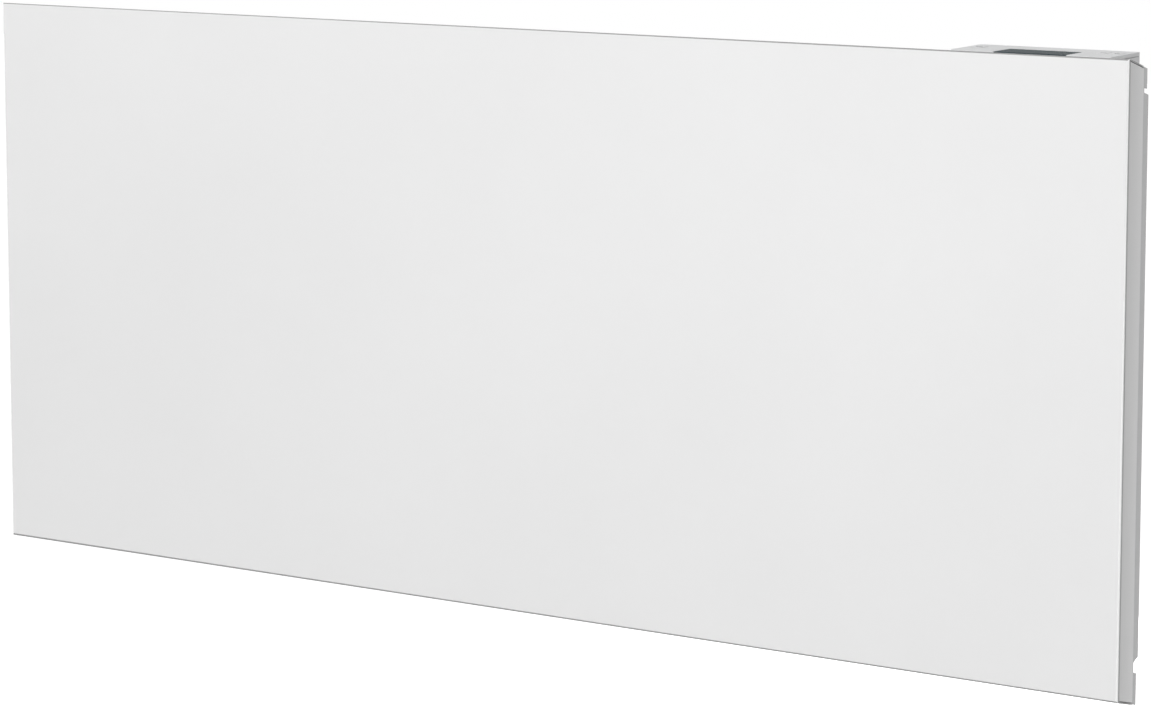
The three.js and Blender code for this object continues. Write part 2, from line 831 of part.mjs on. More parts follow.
// A ceramic bush with a groove that holds it in the support.
function elementBush(x) {
  const bore = tubeRadius + clearance;
  const half = bushLength / 2;
  const groove = supportThickness / 2 + clearance;
  const lip = bushRadius + bushLip;
  const profile = [
    [bore, -half],
    [lip, -half],
    [lip, -groove],
    [bushRadius, -groove],
    [bushRadius, groove],
    [lip, groove],
    [lip, half],
    [bore, half],
    [bore, -half],
  ].map(([r, h]) => new THREE.Vector2(r, h));
  const ring = new THREE.LatheGeometry(profile, 16).rotateZ(-Math.PI / 2).translate(x, elementY, elementZ);
  return solid(ring);
}

function elementTerminal(x, outward) {
  const start = x + outward * clearance;
  const beadEnd = start + outward * beadLength;
  const studEnd = beadEnd + outward * studLength;
  const bead = roundX(beadRadius, ...ordered(start, beadEnd), elementY, elementZ);
  const stud = roundX(studRadius, ...ordered(beadEnd - outward * bite, studEnd), elementY, elementZ, 10);
  return bead.add(stud);
}

function terminalEnd(x, outward) {
  return x + outward * (clearance + beadLength + studLength);
}

// ---------- shields and thermal cut-out ----------
function heatShield() {
  const rear = casingRear - sheet - clearance;
  const front = rear - shieldStandoff - shieldThickness;
  const left = casingLeft + shieldEndGap;
  const right = casingRight - baffleInset - shieldBaffleGap;
  const z0 = casingBottom + shieldRise;
  const z1 = z0 + shieldHeight;
  return joined([
    block(left, right, front, front + shieldThickness, z0, z1),
    block(left, right, front, rear, z0, z0 + shieldThickness),
    block(left, right, front, rear, z1 - shieldThickness, z1),
  ]);
}

function endBaffle() {
  const x = casingRight - baffleInset;
  const bottom = casingBottom + sheet + clearance;
  const top = bottom + baffleHeight;
  const rear = casingRear - sheet - clearance;
  return joined([
    block(x, x + shieldThickness, casingFront, rear, bottom, top),
    block(x, x + baffleFoot, rear - shieldThickness, rear, bottom, top),
    block(x, x + baffleFoot, casingFront, casingFront + shieldThickness, bottom, top),
  ]);
}

function cutoutBracket() {
  const [x0, x1] = [cutoutX - cutoutShelfWidth / 2, cutoutX + cutoutShelfWidth / 2];
  const t = supportThickness;
  const shelf = block(x0, x1, casingFront, casingFront + cutoutShelfDepth, cutoutZ, cutoutZ + t);
  const foot = block(x0, x1, casingFront, casingFront + t, cutoutZ, cutoutZ + cutoutFoot);
  return shelf.add(foot);
}

function thermalCutout() {
  const top = cutoutZ - clearance;
  const can = roundZ(cutoutRadius, top - cutoutHeight, top, cutoutX, cutoutY, 20);
  const tabs = block(
    cutoutX - cutoutTabReach,
    cutoutX + cutoutTabReach,
    cutoutY - cutoutTabWidth / 2,
    cutoutY + cutoutTabWidth / 2,
    cutoutTabZ - cutoutTabThickness / 2,
    cutoutTabZ + cutoutTabThickness / 2,
  );
  return can.add(tabs);
}

// ---------- control module ----------
// The module's top climbs gently towards the wall.
function risen(shape) {
  const rise = moduleTopRise / (moduleRear - moduleFront);
  const shear = new THREE.Matrix4().set(1, 0, 0, 0, 0, 1, 0, 0, 0, rise, 1, -rise * moduleFront, 0, 0, 0, 1);
  return solid(geometryOf(shape).applyMatrix4(shear));
}

function modulePlan(inset = 0) {
  const radius = Math.max(softCorner, moduleCornerRadius - inset);
  return roundedOutline(
    moduleLeft + inset,
    moduleRight - inset,
    moduleFront + inset,
    moduleRear - inset,
    radius,
  );
}

function controlHousing() {
  const shell = upright(modulePlan(), moduleBottom, halfHeight + overcut);
  const hollow = upright(modulePlan(moduleWall), innerBottom, halfHeight + 2 * overcut);
  const trim = risen(
    block(
      moduleLeft - overcut,
      moduleRight + overcut,
      moduleFront - overcut,
      moduleRear + overcut,
      housingTop,
      halfHeight + moduleWall + 2 * overcut,
    ),
  );
  const ears = earScrewPlaces().map(([x, z], i) => {
    const inner = i === 0 ? innerLeft : innerRight;
    const outer = i === 0 ? moduleLeft - earWidth : moduleRight + earWidth;
    const [z0, z1] = [z - earHeight / 2, z + earHeight / 2];
    const ear = block(...ordered(inner, outer), casingFront, casingFront + earThickness, z0, z1);
    const [front, rear] = [casingFront - overcut, casingFront + earThickness + overcut];
    return ear.subtract(roundY(screwHoleRadius, front, rear, x, z));
  });
  const wireHoles = [neutralY, liveY].map((y) =>
    roundX(wireRadius + clearance, moduleLeft - overcut, innerLeft + overcut, y, wireExitZ, 12),
  );
  const floorHoles = [
    throughFloor(glandBarrel + clearance, glandX, glandY, 16),
    throughFloor(wireRadius + clearance, terminalX(0), earthY, 12),
    throughFloor(wireRadius + 2 * clearance, sensorX, glandY, 12),
  ];
  const walls = cutBy(shell, [hollow, trim]);
  return cutBy(joined([walls, ...ears, ...boardGuides()]), [...wireHoles, ...floorHoles]);
}

function throughFloor(radius, x, y, sides) {
  return roundZ(radius, moduleBottom - overcut, innerBottom + overcut, x, y, sides);
}

// Ribs inside the housing: a groove for the upright board and a ledge for the display board.
function boardGuides() {
  const guides = [];
  const grooveRear = boardRear + clearance;
  const grooveFront = mainBoardDepth - clearance;
  const ribTop = innerBottom + mainBoardHeight;
  const reach = grooveRibReach + moduleWall / 2;
  for (const [x0, x1] of [
    [innerLeft - moduleWall / 2, innerLeft - moduleWall / 2 + reach],
    [innerRight + moduleWall / 2 - reach, innerRight + moduleWall / 2],
  ]) {
    guides.push(block(x0, x1, grooveFront - grooveRib, grooveFront, innerBottom - bite, ribTop));
    guides.push(block(x0, x1, grooveRear, grooveRear + grooveRib, innerBottom - bite, ribTop));
    const ledgeTop = displayBoardBottom - clearance;
    guides.push(block(x0, x1, grooveRear, innerRear + bite, ledgeTop - grooveRib, ledgeTop));
  }
  return guides;
}

function buttonXs() {
  return {
    power: moduleCentreX + powerButtonOffset,
    minus: moduleCentreX + minusButtonOffset,
    plus: moduleCentreX + plusButtonOffset,
  };
}

function buttonBlock(x, grow, z0, z1) {
  const halfX = buttonWidth / 2 + grow;
  const [y0, y1] = [buttonCentreDepth - buttonDepth / 2 - grow, buttonCentreDepth + buttonDepth / 2 + grow];
  return upright(roundedOutline(x - halfX, x + halfX, y0, y1, buttonCornerRadius + grow / 2), z0, z1);
}

function controlFascia() {
  const slab = upright(modulePlan(), fasciaBottom, halfHeight);
  const lipBottom = fasciaBottom - fasciaLipHeight;
  const lipOuter = upright(modulePlan(moduleWall + clearance), lipBottom, fasciaBottom + bite);
  const lipInner = upright(
    modulePlan(moduleWall + clearance + fasciaLipWall),
    lipBottom - overcut,
    fasciaBottom + bite + overcut,
  );
  const lip = lipOuter.subtract(lipInner).subtract(lensRoom());
  const windowHole = block(
    windowLeft,
    windowRight,
    moduleFront - overcut,
    windowRear,
    fasciaBottom - overcut,
    halfHeight + overcut,
  );
  const buttonHoles = Object.values(buttonXs()).map((x) =>
    buttonBlock(x, clearance, fasciaBottom - overcut, halfHeight + overcut),
  );
  const buttonRooms = Object.values(buttonXs()).map((x) =>
    buttonBlock(x, buttonLip + 2 * clearance, lipBottom - overcut, fasciaBottom),
  );
  return risen(cutBy(slab.add(lip), [windowHole, ...buttonHoles, ...buttonRooms]));
}

// The fascia's lip stops short of the lens, which reaches to the front wall.
function lensRoom() {
  return block(
    windowLeft - lensLap - lensRoomGap,
    windowRight + lensLap + lensRoomGap,
    moduleFront,
    windowRear + lensLap + lensRoomGap,
    fasciaBottom - fasciaLipHeight - overcut,
    fasciaBottom,
  );
}

function displayWindow() {
  const [x0, x1] = [windowLeft + clearance, windowRight - clearance];
  const [y0, y1] = [moduleFront + clearance, windowRear - clearance];
  const flangeFront = innerFront + clearance;
  const raised = block(x0, x1, y0, y1, fasciaBottom, lensTop);
  const [neckLow, neckHigh] = [lensFlangeTop - lensThickness / 2, fasciaBottom + bite];
  const neck = block(x0, x1, flangeFront, y1, neckLow, neckHigh);
  const flange = block(
    x0 - lensLap,
    x1 + lensLap,
    flangeFront,
    y1 + lensLap,
    lensFlangeTop - lensThickness,
    lensFlangeTop,
  );
  return risen(joined([raised, neck, flange]));
}

function displayPanel() {
  const front = innerFront + clearance;
  return risen(
    block(windowLeft, windowRight, front, windowRear + lensLap, displayTop - displayHeight, displayTop),
  );
}

function displayBoard() {
  const body = upright(modulePlan(moduleWall + boardMargin), displayBoardBottom, displayBoardTop);
  return risen(body);
}

function buttonCap(x) {
  const lipTop = fasciaBottom - clearance;
  const cap = buttonBlock(x, 0, lipTop - buttonLipThickness / 2, halfHeight + buttonProud);
  const lip = buttonBlock(x, buttonLip, lipTop - buttonLipThickness, lipTop);
  const stemBottom = displayBoardTop + clearance + switchSize / 2 + clearance + buttonTravel;
  const half = buttonStem / 2;
  const [y0, y1] = [buttonCentreDepth - half, buttonCentreDepth + half];
  const stem = block(x - half, x + half, y0, y1, stemBottom, lipTop);
  return risen(joined([cap, lip, stem]));
}

function tactSwitch(x) {
  const bottom = displayBoardTop + clearance;
  const half = switchSize / 2;
  const [y0, y1] = [buttonCentreDepth - half, buttonCentreDepth + half];
  const body = block(x - half, x + half, y0, y1, bottom, bottom + switchSize / 3);
  const plunger = roundZ(half / 2, bottom, bottom + half, x, buttonCentreDepth, 10);
  return risen(body.add(plunger));
}

function mainBoard() {
  return block(
    innerLeft + boardMargin,
    innerRight - boardMargin,
    mainBoardDepth,
    mainBoardDepth + boardThickness,
    innerBottom + clearance,
    innerBottom + mainBoardHeight,
  );
}

// A component that stands on the rear face of the main board.
function onBoard({ across, rise, width, depth, height }) {
  const front = boardRear + clearance;
  const x = moduleCentreX + across;
  const z = innerBottom + rise;
  return block(x - width / 2, x + width / 2, front, front + depth, z, z + height);
}

function transformer() {
  return onBoard(transformerCore).add(onBoard(transformerCoil));
}

function capacitor() {
  const z = innerBottom + capacitorRise;
  const y = boardRear + clearance + capacitorRadius;
  return roundZ(capacitorRadius, z, z + capacitorLength, moduleCentreX + capacitorAcross, y, 18);
}

function terminalX(place) {
  return moduleCentreX + terminalBox.across + (place - (terminalCount - 1) / 2) * terminalPitch;
}

function terminalBlock() {
  const front = boardRear + clearance + terminalSlotFront;
  const rear = boardRear + clearance + terminalBox.depth + overcut;
  const bottom = innerBottom + terminalBox.rise;
  const slots = [];
  for (let place = 0; place < terminalCount; place += 1) {
    const [x0, x1] = [terminalX(place) - terminalSlotWidth / 2, terminalX(place) + terminalSlotWidth / 2];
    slots.push(block(x0, x1, front, rear, bottom + terminalSlotRise, bottom + terminalBox.height + overcut));
  }
  return cutBy(onBoard(terminalBox), slots);
}

// The body of the cord inlet. The cord itself isn't shown in the photograph and isn't made.
function cableGland() {
  const low = moduleBottom - clearance;
  const top = innerBottom + clearance + glandNutHeight;
  const collar = roundZ(glandRadius, low - glandCollarHeight, low, glandX, glandY, 6);
  const body = roundZ(glandBarrel, low - glandLength, top, glandX, glandY);
  const bore = roundZ(glandBore, low - glandLength - overcut, top + overcut, glandX, glandY, 12);
  return collar.add(body).subtract(bore);
}

function glandNut() {
  const low = innerBottom + clearance;
  const high = low + glandNutHeight;
  const ring = roundZ(glandRadius, low, high, glandX, glandY, 6);
  return ring.subtract(roundZ(glandBarrel + clearance, low - overcut, high + overcut, glandX, glandY));
}

// The air sensor looks out of the housing's floor, where cool air passes.
function roomSensor() {
  const radius = wireRadius + clearance;
  const floor = innerBottom + clearance;
  const probe = roundZ(radius, moduleBottom - sensorDrop, innerBottom + sensorRise, sensorX, glandY, 12);
  return probe.add(roundZ(radius + sensorCollar, floor, floor + sensorCollar, sensorX, glandY, 12));
}

function earthStud() {
  const seat = chassisFront - clearance;
  const head = roundY(2 * earthRadius, seat - earthHeadHeight, seat, earthX, earthZ);
  return head.add(roundY(earthRadius, seat - bite, chassisRear + earthStudReach, earthX, earthZ));
}

function earthNut() {
  const front = chassisRear + 2 * clearance + lugThickness;
  const rear = front + earthNutHeight;
  const ring = roundY(earthNutRadius, front, rear, earthX, earthZ, 6);
  return ring.subtract(roundY(earthRadius + clearance, front - overcut, rear + overcut, earthX, earthZ));
}

// ---------- wiring ----------
function wireGrommet() {
  const y = (neutralY + liveY) / 2;
  const x0 = casingRight - sheet / 2 - grommetThickness / 2;
  const x1 = x0 + grommetThickness;
  const [grooveLeft, grooveRight] = [casingRight - sheet - clearance, casingRight + clearance];
  const rim = roundX(grommetRadius + overcut, grooveLeft, grooveRight, y, wireExitZ);
  const neck = roundX(grommetRadius - grommetLip, x0 - overcut, x1 + overcut, y, wireExitZ);
  const ways = [neutralY, liveY].map((wayY) =>
    roundX(wireRadius + clearance, x0 - overcut, x1 + overcut, wayY, wireExitZ, 12),
  );
  return cutBy(roundX(grommetRadius, x0, x1, y, wireExitZ), [rim.subtract(neck), ...ways]);
}

// Wires leave the terminal block downwards, turn and cross to the casing.
function fromTerminal(x, y) {
  return [
    [x, y, innerBottom + terminalBox.rise - clearance],
    [x, y, wireExitZ + wireBend],
    [x - wireBend * 0.3, y, wireExitZ + wireBend * 0.3],
    [x - wireBend, y, wireExitZ],
    [innerLeft + wireStraight, y, wireExitZ],
    [moduleLeft - wireStraight, y, wireExitZ],
    [casingRight + wireStraight, y, wireExitZ],
    [casingRight - wireStraight, y, wireExitZ],
    [casingRight - 2 * wireStraight, y, wireExitZ],
  ];
}

// The last stretch of a lead: down beside an end of the element, and back onto its terminal.
function ontoTerminal(end, outward) {
  const drop = end + outward * wireDrop;
  return [
    [drop, elementY, elementZ + 4 * wireDrop],
    [drop, elementY, elementZ + wireDrop],
    [drop - outward * wireDrop * 0.4, elementY, elementZ + wireDrop * 0.25],
    [end + outward * wireDrop * 0.4, elementY, elementZ],
    [end, elementY, elementZ],
  ];
}

function neutralWire() {
  const end = terminalEnd(tubeRight, 1) + clearance;
  return wireAlong([
    ...fromTerminal(terminalX(1), neutralY),
    [end + 2 * wireDrop, neutralY + wireRadius, wireExitZ - wireBend],
    [end + wireDrop, elementY - wireSpacing, wireExitZ - 5 * wireBend],
    ...ontoTerminal(end, 1),
  ]);
}

function liveWire() {
  const end = cutoutX + cutoutTabReach + clearance;
  return wireAlong([
    ...fromTerminal(terminalX(2), liveY),
    [casingRight - 5 * wireBend, liveY, wireExitZ - wireRadius],
    [(casingRight + end) / 2, liveY, (wireExitZ + cutoutTabZ) / 2],
    [end + 5 * wireBend, cutoutY, cutoutTabZ],
    [end + wireStraight, cutoutY, cutoutTabZ],
    [end, cutoutY, cutoutTabZ],
  ]);
}

function linkWire() {
  const start = cutoutX - cutoutTabReach - clearance;
  const end = terminalEnd(tubeLeft, -1) - clearance;
  const run = cutoutTabZ - wireBend;
  return wireAlong([
    [start, cutoutY, cutoutTabZ],
    [start - wireStraight, cutoutY, cutoutTabZ],
    [start - 8 * wireBend, cutoutY, run],
    [tubeLeft + 8 * wireBend, cutoutY, run],
    [tubeLeft, cutoutY + wireRadius, run - wireStraight],
    ...ontoTerminal(end, -1),
  ]);
}

// The earth lead drops through the module's floor to a lug on the chassis plate's stud.
function earthWire() {
  const lugFront = chassisRear + clearance;
  const lugRear = lugFront + lugThickness;
  const lug = roundY(lugRadius, lugFront, lugRear, earthX, earthZ);
  const hole = roundY(earthRadius + clearance, lugFront - overcut, lugRear + overcut, earthX, earthZ);
  const x = terminalX(0);
  const crimpX = earthX + lugRadius + wireRadius;
  const lead = wireAlong([
    [x, earthY, innerBottom + terminalBox.rise - clearance],
    [x, earthY, innerBottom + wireStraight],
    [x, earthY, moduleBottom - wireStraight],
    [x, earthY, earthZ + 2 * lugRadius],
    [crimpX, earthY, earthZ + wireStraight],
    [crimpX, earthY, earthZ],
  ]);
  const [low, high] = [earthZ - wireRadius, earthZ + wireStraight];
  const crimp = block(earthX + lugRadius - bite, crimpX + wireRadius, lugFront, lugRear, low, high);
  return joined([lug, crimp, lead]).subtract(hole);
}

// ---------- fasteners ----------
// A pan-head screw along Y whose head seats at headFront and whose point looks to the front.
function plateScrew(x, z, headFront) {
  const front = headFront - screwLength;
  const shank = roundY(screwRadius, front, headFront + bite, x, z, 8);
  const head = roundY(screwHeadRadius, headFront, headFront + screwHeadHeight, x, z, 12);
  const [driveFront, driveRear] = [headFront + screwHeadHeight / 2, headFront + 2 * screwHeadHeight];
  const [halfLength, halfWide] = [driveLength / 2, driveWidth / 2];
  const drive = block(x - halfLength, x + halfLength, driveFront, driveRear, z - halfWide, z + halfWide);
  return shank.add(head).subtract(drive);
}

// A screw about its own origin, which lies between the cover's flange and the tab. It is drawn head
// down and turned over in its place.
function coverScrew() {
  const seat = -(sheet + cornerSeam / 2 + clearance);
  const shank = roundZ(screwRadius, seat - bite, seat + screwLength, 0, 0, 8);
  const head = roundZ(screwHeadRadius, seat - coverScrewHeadHeight, seat, 0, 0, 12);
  const [driveLow, driveHigh] = [seat - 2 * coverScrewHeadHeight, seat - coverScrewHeadHeight / 2];
  const [halfLength, halfWide] = [driveLength / 2, driveWidth / 2];
  const drive = block(-halfLength, halfLength, -halfWide, halfWide, driveLow, driveHigh);
  return shank.add(head).subtract(drive);
}

// ---------- wall bracket ----------
function bracketArm(x) {
  const front = -(wallGap - clearance);
  const fingerRear = -(wallGap + sheet + clearance);
  const fingerFront = fingerRear - hookFinger;
  const profile = outline([
    [0, armBottom],
    [0, armTop],
    [front, armTop],
    [front, hookSeat],
    [fingerRear, hookSeat],
    [fingerRear, hookSeat + hookRise],
    [fingerFront, hookSeat + hookRise],
    [fingerFront, hookSeat - hookHeight],
    [front, hookSeat - hookHeight],
    [front, hookSeat - hookHeight - armWaistTop],
    [front / 2, hookSeat - hookHeight - armWaistTop - armWaistSlope],
    [front / 2, catchEarZ + armWaistBottom],
    [front + armLegGap, catchEarZ + armLegRise],
    [front + armLegGap, armBottom],
  ]);
  return acrossX(profile, x - bracketSheet / 2, x + bracketSheet / 2);
}

function wallBracket() {
  const parts = [block(-armSpread, armSpread, -bracketSheet, 0, -crossbarHeight / 2, crossbarHeight / 2)];
  for (const side of [-1, 1]) {
    const outside = armSpread + uprightOutside;
    const [x0, x1] = ordered(side * outside, side * (outside - uprightWidth));
    parts.push(block(x0, x1, -bracketSheet, 0, armBottom, armTop));
    parts.push(bracketArm(side * armSpread));
    parts.push(catchShelf(side));
  }
  return cutBy(joined(parts), wallScrewSlots());
}

function catchShelf(side) {
  const x = side * (armSpread - catchInset);
  const [x0, x1] = ordered(side * armSpread, x - (side * catchEarWidth) / 2);
  const shelf = block(x0, x1, -shelfDepth, 0, shelfZ - bracketSheet, shelfZ);
  return shelf.subtract(catchHole(x, -catchFromWall, shelfZ - bracketSheet));
}

function wallScrewSlots() {
  const places = [];
  const x = armSpread - (uprightWidth - uprightOutside) / 2;
  for (const side of [-1, 1]) {
    places.push([side * x, armTop - upperSlotDrop], [side * x, armBottom + lowerSlotRise]);
    places.push([side * crossbarSlotSpread, 0]);
  }
  return places.map(([cx, cz]) => {
    const [x0, x1] = [cx - slotLength / 2, cx + slotLength / 2];
    const [z0, z1] = [cz - slotWidth / 2, cz + slotWidth / 2];
    return acrossY(roundedOutline(x0, x1, z0, z1, slotWidth / 2 - 0.01), -bracketSheet - overcut, overcut);
  });
}

// ---------- sprung catches ----------
function catchSlider(x) {
  const y = -catchFromWall;
  const noseTop = catchEarZ + catchTravel - catchFreeGap;
  const handleTop = shelfZ - bracketSheet - catchHandleDrop;
  const stem = block(
    x - catchHalfWidth,
    x + catchHalfWidth,
    y - catchHalfDepth,
    y + catchHalfDepth,
    handleTop - bite,
    noseTop,
  );
  const collarTop = catchEarZ - clearance;
  const collar = upright(
    roundedOutline(x - catchCollar / 2, x + catchCollar / 2, y - catchCollar / 2, y + catchCollar / 2, 1),
    collarTop - catchCollarHeight,
    collarTop,
  );
  const handle = upright(
    roundedOutline(
      x - catchHandleWidth / 2,
      x + catchHandleWidth / 2,
      y - catchHandleDepth / 2,
      y + catchHandleDepth / 2,
      2,
    ),
    handleTop - catchHandleHeight,
    handleTop,
  );
  const grips = [0.3, 0.6].map((share) => {
    const z = handleTop - catchHandleHeight * share;
    const [x0, x1] = [x - catchHandleWidth, x + catchHandleWidth];
    const [y0, y1] = [y + catchHandleDepth / 2 - gripDepth, y + catchHandleDepth];
    return block(x0, x1, y0, y1, z - gripHeight / 2, z + gripHeight / 2);
  });
  return cutBy(joined([stem, collar, handle]), grips);
}

// The least distance between the surfaces of a wire's curls, from points along its middle.
function leastCurlGap(middle) {
  let least = Infinity;
  for (let i = 0; i < middle.length; i += 1) {
    for (let j = i + stepsPerCurl / 2; j < middle.length; j += 1) {
      least = Math.min(least, middle[i].distanceTo(middle[j]) - 2 * springWireRadius);
    }
  }
  return least;
}

// The catch's coil spring: one unbroken helix of wire with a flat disc at each end.
function catchSpring(x) {
  const bottom = shelfZ + clearance;
  const top = catchEarZ - 2 * clearance - catchCollarHeight;
  const steps = springCurls * stepsPerCurl;
  const rise = top - bottom - 2 * springWireRadius;
  const middle = [];
  const positions = [];
  for (let i = 0; i <= steps; i += 1) {
    const turn = (2 * Math.PI * i) / stepsPerCurl;
    const height = bottom + springWireRadius + (rise * i) / steps;
    middle.push(new THREE.Vector3(springRadius * Math.cos(turn), springRadius * Math.sin(turn), height));
    for (let s = 0; s < springSides; s += 1) {
      const around = (2 * Math.PI * s) / springSides;
      const r = springRadius + springWireRadius * Math.cos(around);
      positions.push(x + r * Math.cos(turn), -catchFromWall + r * Math.sin(turn));
      positions.push(height + springWireRadius * Math.sin(around));
    }
  }
  console.log(`least gap between the curls of a catch spring: ${leastCurlGap(middle).toFixed(2)} mm`);
  const index = [];
  for (let i = 0; i < steps; i += 1) {
    for (let s = 0; s < springSides; s += 1) {
      const next = (s + 1) % springSides;
      const [a, b] = [i * springSides + s, i * springSides + next];
      index.push(a, a + springSides, b, b, a + springSides, b + springSides);
    }
  }
  for (let s = 1; s < springSides - 1; s += 1) {
    const last = steps * springSides;
    index.push(0, s, s + 1, last, last + s + 1, last + s);
  }
  const geometry = new THREE.BufferGeometry();
  geometry.setAttribute("position", new THREE.Float32BufferAttribute(positions, 3));
  geometry.setIndex(index);
  return solid(geometry);
}

// ---------- assembly ----------
addPiece(heater, "front_cover", frontCover(), whiteSteel);
addPiece(heater, "chassis_plate", chassisPlate(), greySteel);
addPiece(heater, "rear_casing", rearCasing(), greySteel);
addPiece(heater, "outlet_grille", outletGrille(), greySteel);

for (const [side, x] of [["left", -padSpread], ["right", padSpread]]) {
  const [y0, y1] = [sheet + clearance, chassisFront - clearance];
  const pad = block(x - padWidth / 2, x + padWidth / 2, y0, y1, -padHeight / 2, padHeight / 2);
  addPiece(heater, `damping_pad_${side}`, pad, foam);
}

addPiece(heater, "element_tube", roundX(tubeRadius, tubeLeft, tubeRight, elementY, elementZ), stainless);
addPiece(heater, "element_diffuser", diffuser(), aluminium);
for (const [side, end, outward] of [["left", tubeLeft, -1], ["right", tubeRight, 1]]) {
  const supportX = end - outward * supportInset;
  addPiece(heater, `element_support_${side}`, elementSupport(supportX, -outward), galvanised);
  addPiece(heater, `element_bush_${side}`, elementBush(supportX), ceramic);
  addPiece(heater, `element_terminal_${side}`, elementTerminal(end, outward), ceramic);
}
addPiece(heater, "heat_shield", heatShield(), aluminium);
addPiece(heater, "end_baffle", endBaffle(), galvanised);
addPiece(heater, "cutout_bracket", cutoutBracket(), galvanised);
addPiece(heater, "thermal_cutout", thermalCutout(), stainless);

addPiece(heater, "control_housing", controlHousing(), palePlastic);
addPiece(heater, "control_fascia", controlFascia(), palePlastic);
addPiece(heater, "display_window", displayWindow(), darkGlass);
addPiece(heater, "display_panel", displayPanel(), blackPlastic);
addPiece(heater, "display_board", displayBoard(), boardGreen);
for (const [name, x] of Object.entries(buttonXs())) {
  addPiece(heater, `button_${name}`, buttonCap(x), palePlastic);
  addPiece(heater, `switch_${name}`, tactSwitch(x), blackPlastic);
}
addPiece(heater, "main_board", mainBoard(), boardGreen);
addPiece(heater, "relay", onBoard(relayBox), blackPlastic);
addPiece(heater, "transformer", transformer(), greyPlastic);
addPiece(heater, "capacitor", capacitor(), blueCan);
addPiece(heater, "terminal_block", terminalBlock(), greyPlastic);
addPiece(heater, "room_sensor", roomSensor(), blackPlastic);
addPiece(heater, "cable_gland", cableGland(), greyPlastic);
addPiece(heater, "gland_nut", glandNut(), greyPlastic);
addPiece(heater, "earth_stud", earthStud(), zincScrew);
addPiece(heater, "earth_nut", earthNut(), zincScrew);
addPiece(heater, "wire_grommet", wireGrommet(), blackPlastic);
addPiece(heater, "wire_neutral", neutralWire(), blueWire);
addPiece(heater, "wire_live", liveWire(), brownWire);
addPiece(heater, "wire_link", linkWire(), brownWire);
addPiece(heater, "wire_earth", earthWire(), greenWire);

casingScrewPlaces().forEach(([x, z], i) => {
  addPiece(heater, `casing_screw_${i + 1}`, plateScrew(x, z, casingFront + sheet + clearance), zincScrew);
});
earScrewPlaces().forEach(([x, z], i) => {
  const screw = plateScrew(x, z, casingFront + earThickness + clearance);
  addPiece(heater, `module_screw_${i === 0 ? "left" : "right"}`, screw, zincScrew);
});
coverScrewPlaces().forEach((at, i) => {
  const screw = addPiece(heater, `cover_screw_${i === 0 ? "left" : "right"}`, coverScrew(), zincScrew);
  screw.position.set(...at);
  screw.rotation.x = Math.PI - Math.atan(topFlangeFall);
});

addPiece(mounting, "wall_bracket", wallBracket(), galvanised);
catchXs().forEach((x, i) => {
  const side = i === 0 ? "left" : "right";
  addPiece(mounting, `catch_${side}`, catchSlider(x), greyPlastic);
  addPiece(mounting, `catch_spring_${side}`, catchSpring(x), stainless);
});

heater.position.y = -overallDepth;
const panelHeater = new THREE.Group();
panelHeater.add(heater, mounting);

export default panelHeater;
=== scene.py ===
"""Looks of a wall panel convector heater: powder-coated sheet steel, a moulded control module with
a display and three keys, a galvanised wall bracket and two sprung catches. Metres, +Z up."""

import json
import math

import bmesh
import bpy
from mathutils import Matrix, Vector
from mathutils.bvhtree import BVHTree


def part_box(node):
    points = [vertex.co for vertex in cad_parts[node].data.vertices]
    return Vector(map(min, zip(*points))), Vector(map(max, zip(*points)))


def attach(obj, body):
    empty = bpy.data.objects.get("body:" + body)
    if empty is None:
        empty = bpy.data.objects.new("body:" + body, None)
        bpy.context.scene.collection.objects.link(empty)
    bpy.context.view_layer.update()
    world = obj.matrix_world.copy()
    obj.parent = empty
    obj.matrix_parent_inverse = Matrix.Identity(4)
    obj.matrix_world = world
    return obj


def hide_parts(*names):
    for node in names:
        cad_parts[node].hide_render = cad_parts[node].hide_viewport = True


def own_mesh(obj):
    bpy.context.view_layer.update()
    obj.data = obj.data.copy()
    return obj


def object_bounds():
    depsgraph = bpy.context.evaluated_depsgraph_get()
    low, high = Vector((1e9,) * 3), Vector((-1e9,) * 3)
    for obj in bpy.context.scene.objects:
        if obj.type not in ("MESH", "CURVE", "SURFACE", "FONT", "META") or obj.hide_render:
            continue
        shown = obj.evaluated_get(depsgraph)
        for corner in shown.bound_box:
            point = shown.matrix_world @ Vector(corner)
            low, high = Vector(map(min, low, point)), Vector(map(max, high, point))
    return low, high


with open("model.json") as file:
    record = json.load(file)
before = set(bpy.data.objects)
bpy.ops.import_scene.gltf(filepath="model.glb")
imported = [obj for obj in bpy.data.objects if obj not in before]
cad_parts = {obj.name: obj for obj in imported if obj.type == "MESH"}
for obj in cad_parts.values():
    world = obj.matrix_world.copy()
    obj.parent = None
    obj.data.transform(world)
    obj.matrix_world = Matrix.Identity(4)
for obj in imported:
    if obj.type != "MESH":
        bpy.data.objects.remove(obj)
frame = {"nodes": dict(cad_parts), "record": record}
CAD_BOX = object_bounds()
NODES = frame["nodes"]
MM = 0.001

# ---------- photograph's view ----------
IMAGE_WIDTH_PX = 1151
FOCAL_LENGTH_PX = 4301
SENSOR_WIDTH_MM = 36.0
CAMERA_PLACE = (1.6509, -2.19655, 0.3597)
CAMERA_TILT = math.radians(81.93)
CAMERA_TURN = math.radians(37.15)

